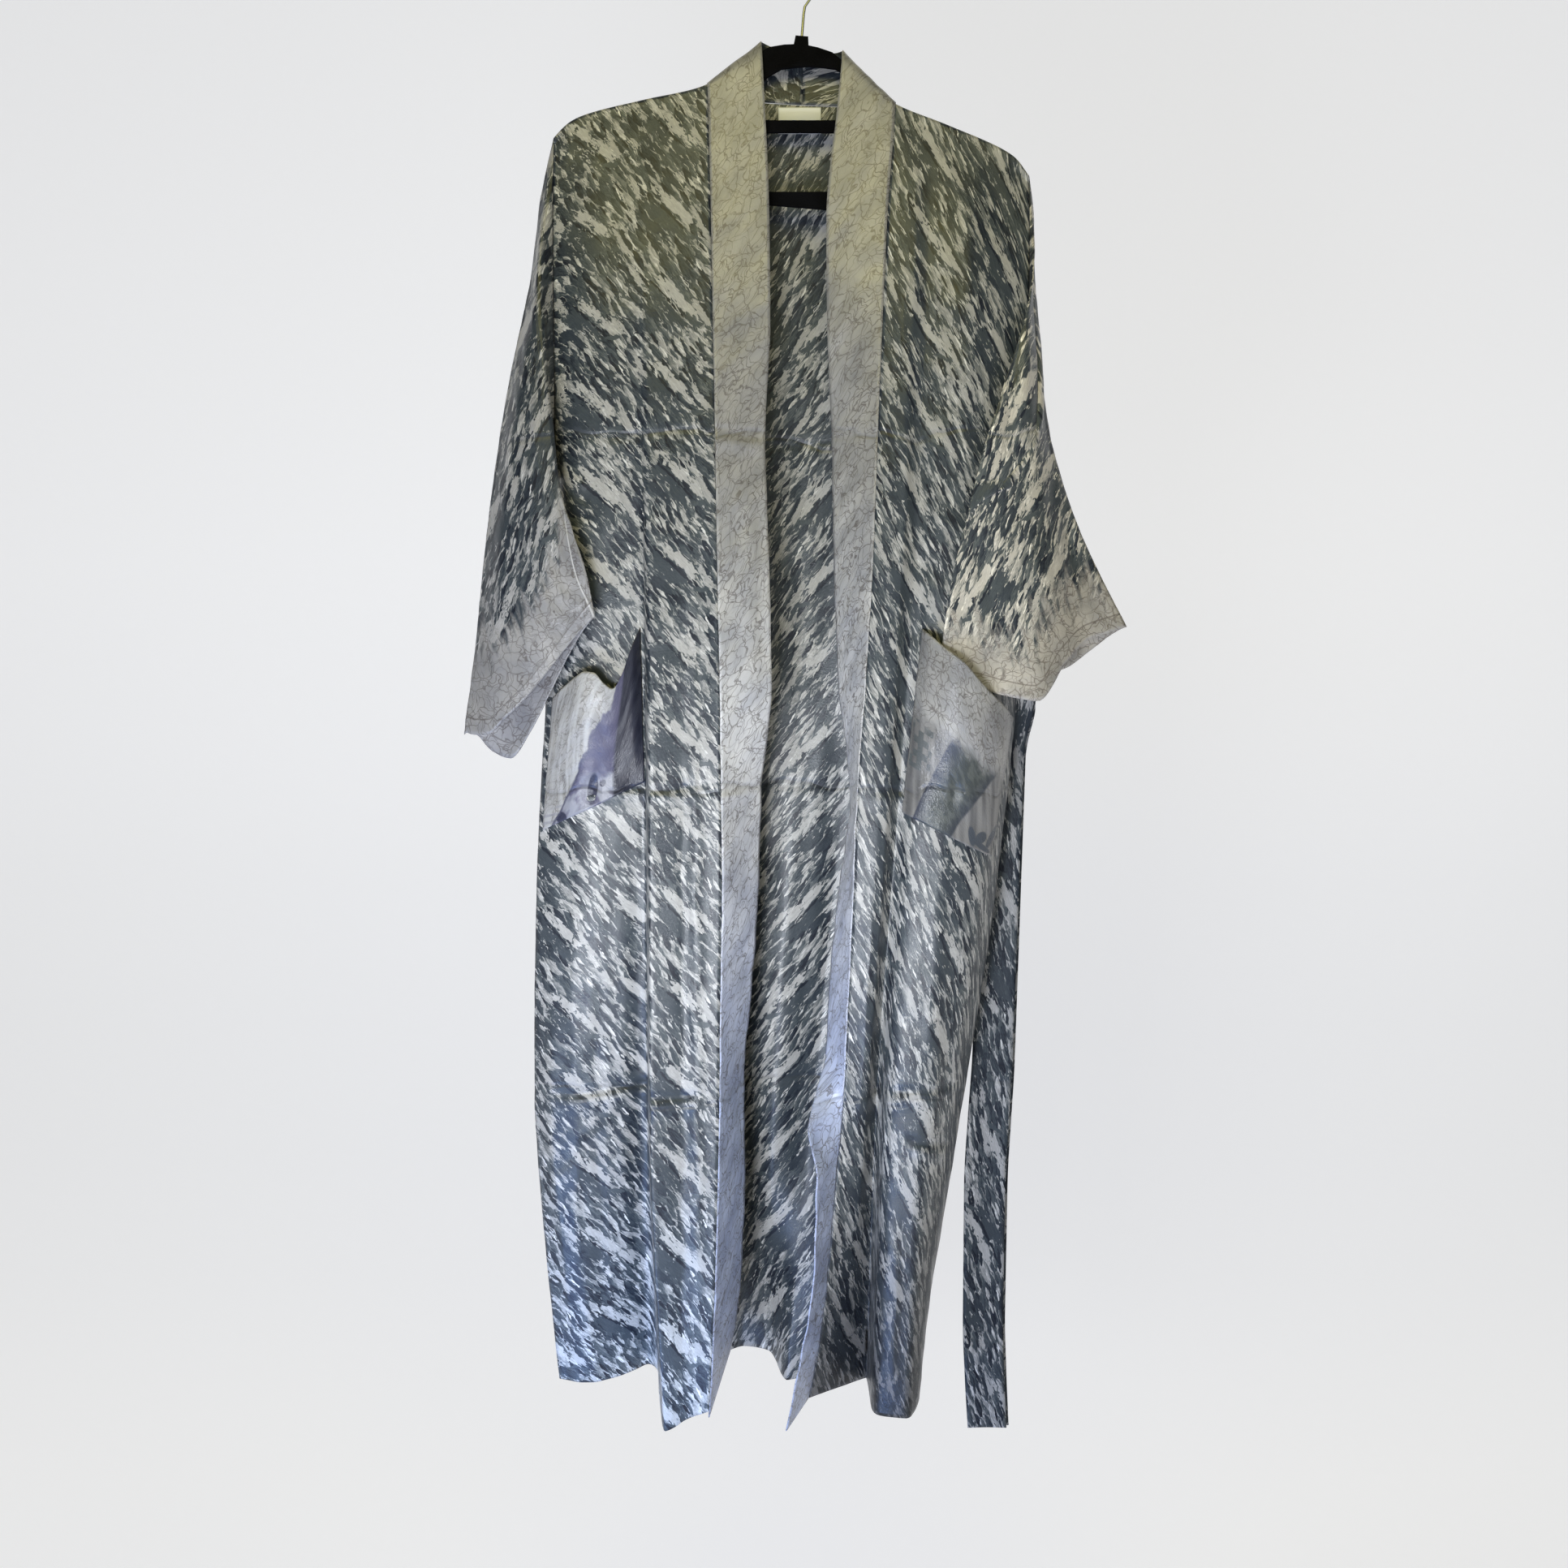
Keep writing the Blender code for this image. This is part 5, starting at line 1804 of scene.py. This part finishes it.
@dataclass
class Sleeves:
    """Both wide sleeves, each a flattened tube."""

    spacing: float = 3.4
    thick: float = 0.6
    around: int = 20
    rows_each: int = 2
    gap: float = 0.3
    waves: Waves = Waves(0.6, 14, 50)
    hem: Hem = Hem(15, 0.25)
    ripple_seed: int = 11
    hem_seed: int = 5
    # Shares of the width: over which a step rises, and over which each layer swells from its two edges
    rise: float = 0.16
    swell_front: tuple[float, float] = (0.2, 0.6)
    swell_back: tuple[float, float] = (0.35, 0.65)

    def ring(self, ring: Ring) -> np.ndarray:
        """Points of one ring, from the outer edge along the front layer to the inner edge and back.

        Args:
            ring: its edges, and how its layers stand.

        Returns:
            The points.
        """
        outer = np.array([ring.ox, ring.oy, ring.oz])
        inner = np.array([ring.ix, ring.iy, ring.iz])
        points = []
        for k in range(self.around):
            angle = 2 * math.pi * k / self.around
            s = (1 - math.cos(angle)) / 2
            skew = PEAK * s * s * (1 - s)
            point = outer + (inner - outer) * s
            past = smooth((s - ring.step) / self.rise) * (1 - s) / (1 - self.rise - ring.step)
            point[1] -= TUBE_HALF * math.sin(angle) + ring.bend * past
            if angle < math.pi:
                near, far = self.swell_front
                full = smooth((s - ring.step) / near) * smooth((1 - s) / far)
                point += np.array([ring.lean_front * skew, -ring.front * full, -ring.sag_front * full])
            else:
                near, far = self.swell_back
                full = smooth(s / near) * smooth((1 - s) / far)
                point += np.array([ring.lean_back * skew, ring.back * full, -ring.sag_back * full])
            points.append(point)
        return np.array(points)

    def armhole(self, side: Sequence[Side]) -> np.ndarray:
        """Points of the first ring, along the armhole edges of the front and back.

        Args:
            side: the side seam above the underarm.

        Returns:
            The points.
        """
        out = -1 if side[0].x < 0 else 1
        top = ridge(side[0].x)
        points = []
        for k in range(self.around):
            angle = 2 * math.pi * k / self.around
            z = top + (UNDERARM - top) * (1 - math.cos(angle)) / 2
            layer = 0 if k in (0, self.around // 2) else -1 if angle < math.pi else 1
            point = side_point(side, np.array(z), layer)
            point[0] += out * (SEAM + self.gap)
            points.append(point)
        return np.array(points)

    def build(self, finishes: dict[str, bpy.types.Material]) -> None:
        """Builds both sleeves.

        Args:
            finishes: the material of each piece, by name.
        """
        table = (
            ("sleeve_left", SLEEVE_LEFT, LEFT_SIDE, CREASES_SLEEVE_LEFT),
            ("sleeve_right", SLEEVE_RIGHT, RIGHT_SIDE, CREASES_SLEEVE_RIGHT),
        )
        for seed, (name, rings, side, creases) in enumerate(table):
            points = np.array([self.armhole(side)] + [self.ring(r) for r in rings])
            steps = np.arange((len(points) - 1) * self.rows_each + 1) / self.rows_each
            spread = Spread(ease(range(len(points)), points, steps), tube=True).refined(self.spacing)
            spread.print_as_hung()
            spread.press(creases)
            spread.ripple(self.waves, seed + self.ripple_seed)
            spread.stitch(self.hem, seed + self.hem_seed)
            piece = spread.to_object(f"{name}_cloth", finishes[name], self.thick)
            report(piece, [name])
            declare(spread)


@dataclass
class NeckbandHalves:
    """Both halves of the doubled neckband."""

    spacing: float = 3.0
    thick: float = 1.1
    behind: float = 7.0
    across: int = 5
    waves: Waves = Waves(0.9, 14, 60)
    seed: int = 21

    def line_neck(
        self, piece: bpy.types.Object, finish: bpy.types.Material, inside: bpy.types.Material
    ) -> None:
        """Gives the side of the band that shows behind the neck the back's print.

        Args:
            piece: half of the neckband.
            finish: its own satin.
            inside: the printed satin.
        """
        mesh = piece.data
        mesh.materials.append(finish)
        mesh.materials.append(inside)
        mesh.materials.append(finish)
        for face in mesh.polygons:
            if face.center.y > self.behind * MM and face.center.z > COLLAR_LOW * MM:
                face.material_index = 2 if face.normal.y < 0 else 1
        piece.modifiers["wall"].material_offset = 1

    def build(self, finish: bpy.types.Material, inside: bpy.types.Material) -> None:
        """Builds both halves.

        Args:
            finish: the material of the outside.
            inside: the material of the inside.
        """
        table = (("neckband_left", LEFT_BAND), ("neckband_right", RIGHT_BAND))
        steps = np.linspace(0, 1, self.across)[None, :, None]
        for seed, (name, band) in enumerate(table):
            shares = np.linspace(0, 1, (len(band.table) - 1) * 2 + 1)
            seam, free = band.curve(shares), band.curve(shares, free=True)
            spread = Spread(seam[:, None] + (free - seam)[:, None] * steps).refined(self.spacing)
            spread.press(CREASES_BANDS)
            spread.ripple(self.waves, seed + self.seed)
            piece = spread.to_object(f"{name}_cloth", finish, self.thick)
            self.line_neck(piece, finish, inside)
            report(piece, [f"{name}_{part}" for part in LENGTHS])
            declare(spread)


@dataclass
class Pockets:
    """Both patch pockets, laid on their fronts' own points."""

    panels: Panels
    thick: float = 0.7
    spacing: float = 2.2
    rows_down: int = 8
    above: float = CLOTH + 0.6
    waves: Waves = Waves(0.5, 14, 40)
    seed: int = 31

    def on_panel(self, grid: np.ndarray, x: float, z: float, stand_off: float) -> np.ndarray:
        """The panel's point at x and z, moved out from it.

        Args:
            grid: the finished panel's points.
            x: world x.
            z: nominal height.
            stand_off: how far the pocket stands off there.

        Returns:
            The point.
        """
        off = (grid[..., 0] - x) ** 2 + (grid[..., 2] - z) ** 2
        j, i = np.unravel_index(int(np.argmin(off)), off.shape)
        j = min(max(j, 1), grid.shape[0] - 2)
        i = min(max(i, 1), grid.shape[1] - 2)
        across = grid[j, i + 1] - grid[j, i - 1]
        down = grid[j + 1, i] - grid[j - 1, i]
        normal = np.cross(across, down)
        normal /= np.linalg.norm(normal)
        normal = -normal if normal[1] > 0 else normal
        plane = grid[j, i]
        y = plane[1] - (normal[0] * (x - plane[0]) + normal[2] * (z - plane[2])) / normal[1]
        return np.array([x, y, z]) + normal * self.above + np.array([0, -stand_off, 0])

    def points(self, panel: str, cut: PatchCut, across: int, down: int) -> np.ndarray:
        """Points of a pocket, sewn at its sides and foot and standing off at its mouth.

        Args:
            panel: the front that it is sewn to.
            cut: its corners and mouth.
            across: how many steps its width has.
            down: how many steps its depth has.

        Returns:
            Rows of points.
        """
        grid = self.panels.grids[panel].points
        rows = []
        for j in range(down + 1):
            v = j / down
            row = []
            for i in range(across + 1):
                u = i / across
                top = np.array(cut.inner_top) * (1 - u) + np.array(cut.outer_top) * u
                foot = np.array(cut.inner_foot) * (1 - u) + np.array(cut.outer_foot) * u
                x, z = top * (1 - v) + foot * v
                edge = math.sin(math.pi * u) ** 0.4
                z -= cut.sag * math.exp(-(((u - cut.sag_at) / cut.sag_wide) ** 2)) * edge * (1 - v) ** 2
                z += cut.bow * math.sin(math.pi * u) * (1 - v)
                out = cut.stand_off * edge * float(smooth(1.15 * (1 - v))) if 0 < i < across else 0
                row.append(self.on_panel(grid, float(x), float(z), out))
            rows.append(row)
        return np.array(rows)

    def build(self, finishes: dict[str, bpy.types.Material]) -> None:
        """Builds both pockets.

        Args:
            finishes: the material of each piece, by name.
        """
        table = (
            ("pocket_left", "front_left", POCKET_LEFT, 10),
            ("pocket_right", "front_right", POCKET_RIGHT, 12),
        )
        for seed, (name, panel, cut, across) in enumerate(table):
            spread = Spread(self.points(panel, cut, across, self.rows_down)).refined(self.spacing)
            spread.ripple(self.waves, seed + self.seed)
            piece = spread.to_object(f"{name}_cloth", finishes[name], self.thick)
            report(piece, [name])
            declare(spread)


@dataclass
class Belt:
    """The tie belt, doubled over its loop, and both loops."""

    spacing: float = 3.0
    thick: float = 1.2
    shift: float = 4.0
    arch: float = 5.5
    more_rows: tuple[float, ...] = (-1130.0, -1390.0)
    loop_spacing: float = 1.2
    loop_thick: float = 0.9
    loop_steps: int = 10
    loop_gap: float = 0.2
    loop_round: float = 0.6
    waves: Waves = Waves(0.6, 30, 90)
    seed: int = 41

    def row(self, left: float, right: float, share: float, y: float, z: float, bow: float) -> list:
        """Three points across the belt.

        Args:
            left: x of its left edge on the front tail.
            right: x of its right edge there.
            share: how far over the loop the row is, from 0 in front to 1 behind.
            y: depth of its edges.
            z: height.
            bow: how much further back its middle lies.

        Returns:
            The points.
        """
        off = self.shift * share
        middle = (left + right) / 2 + off
        return [(left + off, y, z), (middle, y + bow, z), (right + off - share, y, z)]

    def points(self) -> np.ndarray:
        """Points up the front tail, over the loop and down the back tail.

        Returns:
            Rows of points.
        """
        front, back = [], []
        for z in [*(float(t.z) for t in TAILS), *self.more_rows]:
            left, right, y_front, y_back = ease([-t.z for t in TAILS], [t[1:] for t in TAILS], -z)
            front.append(self.row(left, right, 0, y_front, z, 1))
            back.append(self.row(left, right, 1, y_back, z, 1))
        front.sort(key=lambda row: row[0][2])
        back.sort(key=lambda row: -row[0][2])
        left, right = TAILS[0].left, TAILS[0].right
        arch = []
        for share in (0.25, 0.5, 0.75):
            angle = math.pi * share
            z = TAILS[0].z + (BELT_SADDLE_Z - TAILS[0].z) * math.sin(angle)
            arch.append(self.row(left, right, share, -self.arch * math.cos(angle), z, 0))
        return np.array(front + arch + back)

    def loop(self, side: Sequence[Side]) -> np.ndarray:
        """Points of a loop that arches out from the side seam.

        Args:
            side: the side seam.

        Returns:
            Rows of points.
        """
        out = -1 if side[0].x < 0 else 1
        rows = []
        for angle in np.linspace(0, math.pi, self.loop_steps + 1):
            z = LOOP_Z + LOOP_HALF * math.cos(angle)
            x, y = ease([-s.z for s in side], [(s.x, s.y) for s in side], -z)
            x += out * (CLOTH + self.loop_gap + LOOP_OUT * max(math.sin(angle), 0.0) ** self.loop_round)
            rows.append([(x, y - LOOP_WIDTH / 2, z), (x, y, z), (x, y + LOOP_WIDTH / 2, z)])
        return np.array(rows)

    def build(self, finish: bpy.types.Material, loop_finish: bpy.types.Material) -> None:
        """Args:
            finish: the belt's material.
            loop_finish: the material of the loops.
        """
        spread = Spread(self.points()).refined(self.spacing)
        spread.ripple(self.waves, self.seed)
        piece = spread.to_object("belt_cloth", finish, self.thick)
        report(piece, ["belt"])
        declare(spread)
        for name, side in (("belt_loop_left", LEFT_SIDE), ("belt_loop_right", RIGHT_SIDE)):
            spread = Spread(self.loop(side)).refined(self.loop_spacing)
            piece = spread.to_object(f"{name}_cloth", loop_finish, self.loop_thick)
            report(piece, [name])


@dataclass
class Label:
    """The blank neck label."""

    thick: float = 0.5
    spacing: float = 1.5
    corners: int = 5
    waves: Waves = Waves(0.25, 12, 40)
    seed: int = 51

    def build(self, finish: bpy.types.Material) -> None:
        """Builds the label.

        Args:
            finish: its material.
        """
        xs, zs = np.linspace(*LABEL_X, self.corners), np.linspace(*LABEL_Z, self.corners)
        rows = [[(x, LABEL_Y, z) for x in xs] for z in zs]
        spread = Spread(np.array(rows, dtype=float)).refined(self.spacing)
        spread.ripple(self.waves, self.seed)
        piece = spread.to_object("neck_label_satin", finish, self.thick)
        report(piece, ["neck_label"])


@dataclass
class Hanger:
    """The slim flocked hanger and its wire hook."""

    edge: float = 1.7
    sharp: float = 50.0
    sides: int = 20
    neck: tuple[tuple[float, float], ...] = ((0, COLLAR_TOP + 0.3), (0, -66), (0, -56), (0.6, -49))
    turns: tuple[int, int, int] = (-62, 208, 7)

    def plate(self, finish: bpy.types.Material) -> None:
        """A copy of the solid plate, merged and with its edges rounded.

        Args:
            finish: its material.
        """
        source = bpy.data.objects["hanger_body"]
        bm = bmesh.new()
        bm.from_mesh(source.data)
        bm.transform(source.matrix_world)
        bmesh.ops.remove_doubles(bm, verts=bm.verts, dist=MERGE)
        bmesh.ops.dissolve_limit(bm, angle_limit=math.radians(1), verts=bm.verts, edges=bm.edges)
        plate = placed(bm, bpy.data.meshes.new("hanger_plate"), finish)
        soft = plate.modifiers.new("round", "BEVEL")
        soft.width = self.edge * MM
        soft.segments = 3
        soft.limit_method = "ANGLE"
        soft.angle_limit = math.radians(self.sharp)
        report(plate, ["hanger_body"])

    def hook(self, finish: bpy.types.Material) -> None:
        """The wire hook as a round rod along its bend.

        Args:
            finish: its material.
        """
        radius = HOOK_INSIDE + HOOK_ROD / 2
        turns = np.radians(np.arange(*self.turns))
        bend = [(radius * math.cos(a), -HOOK_INSIDE + radius * math.sin(a)) for a in turns]
        route = np.array([tilted(x, z) for x, z in [*self.neck, *bend]])
        bm = bmesh.new()
        rod = HOOK_ROD / 2 * MM
        ring = bmesh.ops.create_circle(bm, cap_ends=True, segments=self.sides, radius=rod)["verts"]
        place = Vector((route[0][0] * MM, 0, route[0][1] * MM))
        bmesh.ops.translate(bm, verts=ring, vec=place)
        heading = Vector((0, 0, 1))
        faces = list(bm.faces)
        for before, after in zip(route, route[1:]):
            step = Vector((after[0] - before[0], 0, after[1] - before[1]))
            made = bmesh.ops.extrude_face_region(bm, geom=faces)
            bmesh.ops.delete(bm, geom=faces, context="FACES_ONLY")
            verts = [g for g in made["geom"] if isinstance(g, bmesh.types.BMVert)]
            faces = [g for g in made["geom"] if isinstance(g, bmesh.types.BMFace)]
            turn = heading.rotation_difference(step.normalized())
            bmesh.ops.rotate(bm, verts=verts, cent=place, matrix=turn.to_matrix())
            bmesh.ops.translate(bm, verts=verts, vec=step * MM)
            place, heading = place + step * MM, step.normalized()
        bmesh.ops.recalc_face_normals(bm, faces=bm.faces)
        wire = placed(bm, bpy.data.meshes.new("hook_wire"), finish)
        report(wire, ["hanger_hook"])

    def build(self, flock: bpy.types.Material, steel: bpy.types.Material) -> None:
        """Builds the plate and the hook."""
        self.plate(flock)
        self.hook(steel)


class Lamp(NamedTuple):
    """A soft box: where it stands, where it looks, its size, power, colour and spread in degrees."""

    name: str
    place: tuple[float, float, float]
    aim: tuple[float, float, float]
    wide: float
    high: float
    watts: float
    colour: tuple[float, float, float]
    spread: float


@dataclass
class Studio:
    """The floor, the backdrop, the lights and the camera."""

    floor_z: float = -1.78
    wall_y: float = 1.9
    half: float = 6.0
    bend: float = 1.1
    length: float = 14.0
    steps: int = 48
    room: Paint = (0.8, 0.88, 1.0, 1)
    room_strength: float = 0.1
    eye: tuple[float, float, float] = (-0.023, -1.70, -0.6357)
    pitch: float = 85.0
    lens: float = 40.0
    sensor: float = 36.0
    lamps: tuple[Lamp, ...] = (
        Lamp("upper_warm", (-0.15, -1.0, 0.3), (0, 0, -0.3), 1.1, 0.5, 6.2, (1.0, 0.9, 0.3), 180),
        Lamp("lower_cool", (-0.55, -0.9, -1.64), (-0.2, 0, -1.4), 0.8, 0.2, 7.0, (0.24, 0.44, 1.0), 180),
        Lamp("middle", (-0.34, -1.15, -1.04), (-0.12, 0, -0.92), 0.4, 0.16, 2.7, (0.9, 0.94, 1.0), 80),
        Lamp("key", (-0.45, -2.0, -1.2), (-0.05, 0, -0.8), 0.7, 0.6, 5.5, (0.95, 0.97, 1.0), 180),
        Lamp("fill", (1.5, -1.7, -0.35), (0, 0, -0.55), 0.9, 1.0, 1.8, (0.95, 0.97, 1.0), 180),
    )

    def sweep(self, finish: bpy.types.Material) -> None:
        """One sheet that is the floor, bends up and is the backdrop.

        Args:
            finish: its material.
        """
        bm = bmesh.new()
        bmesh.ops.create_grid(bm, x_segments=1, y_segments=self.steps, size=1)
        for vert in bm.verts:
            share = (vert.co.y + 1) / 2
            run = share * self.length - self.length / 2
            x = vert.co.x * self.half
            flat = self.wall_y - self.bend
            if run < flat:
                vert.co = (x, run, self.floor_z)
                continue
            angle = min((run - flat) / self.bend, math.pi / 2)
            rise = max(run - flat - self.bend * math.pi / 2, 0) * 2
            z = self.floor_z + self.bend * (1 - math.cos(angle)) + rise
            vert.co = (x, flat + self.bend * math.sin(angle), z)
        bmesh.ops.recalc_face_normals(bm, faces=bm.faces)
        paper = placed(bm, bpy.data.meshes.new("sweep"), finish)

    def light(self) -> None:
        """The soft boxes and the room's even light."""
        for lamp in self.lamps:
            data = bpy.data.lights.new(lamp.name, "AREA")
            data.shape = "RECTANGLE"
            data.size, data.size_y = lamp.wide, lamp.high
            data.energy = lamp.watts
            data.color = lamp.colour
            data.spread = math.radians(lamp.spread)
            box = bpy.data.objects.new(lamp.name, data)
            box.location = lamp.place
            aim = Vector(lamp.aim) - Vector(lamp.place)
            box.rotation_euler = aim.to_track_quat("-Z", "Y").to_euler()
            bpy.context.scene.collection.objects.link(box)
        world = bpy.data.worlds.new("room")
        world.use_nodes = True
        sky = world.node_tree.nodes["Background"].inputs
        sky[0].default_value, sky[1].default_value = self.room, self.room_strength
        bpy.context.scene.world = world

    def camera(self) -> None:
        """The camera where the photograph was taken from."""
        data = bpy.data.cameras.new("camera")
        data.lens, data.sensor_width = self.lens, self.sensor
        eye = bpy.data.objects.new("camera", data)
        eye.location = self.eye
        eye.rotation_euler = (math.radians(self.pitch), 0, 0)
        bpy.context.scene.collection.objects.link(eye)
        bpy.context.scene.camera = eye
        bpy.context.scene.view_settings.view_transform = "Standard"

    def build(self) -> None:
        """Sets up the whole studio."""
        self.sweep(Paper().material())
        self.light()
        self.camera()


def main() -> None:
    """Builds every piece in order."""
    Studio().build()
    # Painted light and shade: tints for how the light falls on the lower fronts and on the sleeves
    painted_cool_light, painted_dusk, grey, painted_warm_light = (1.4, 1.55, 1.8), (0.3, 0.3, 0.32), (0.88, 0.88, 0.92), (1.5, 1.43, 1.3)
    prints = {
        "front_left": LeafPrint("print_front_left", Lean.LEFT, painted_light_at_hem=painted_cool_light),
        "front_right": LeafPrint("print_front_right", Lean.LEFT, painted_light_at_hem=painted_dusk),
        "back": LeafPrint("print_back", Lean.RIGHT),
        "sleeve_left": LeafPrint(
            "print_sleeve_left", Lean.RIGHT, turn=14, border=88, strip=True, shade=grey
        ),
        "sleeve_right": LeafPrint("print_sleeve_right", Lean.RIGHT, turn=12, border=50, shade=painted_warm_light),
    }
    printed = {name: finish.material() for name, finish in prints.items()}
    crackle = Crackle().material()
    panels = Panels()
    panels.build(printed)
    Sleeves().build(printed)
    NeckbandHalves().build(crackle, printed["back"])
    Pockets(panels).build({f"pocket_{side.value}": PocketPrint(side).material() for side in PocketSide})
    # Painted shade: the belt's print is darkened all over, as it hangs in shade
    painted_belt_shade, dull = (0.78, 0.8, 0.86), Satin(sheen=0.15)
    belt_print = LeafPrint("print_belt", Lean.RIGHT, turn=16, shade=painted_belt_shade, painted_light_at_hem=painted_belt_shade, satin=dull)
    Belt().build(belt_print.material(), crackle)
    Label().build(Ribbon().material())
    Hanger().build(Flock().material(), Steel().material())


if __name__ == "__main__":
    logging.basicConfig(level=logging.INFO, format="%(message)s")
    main()
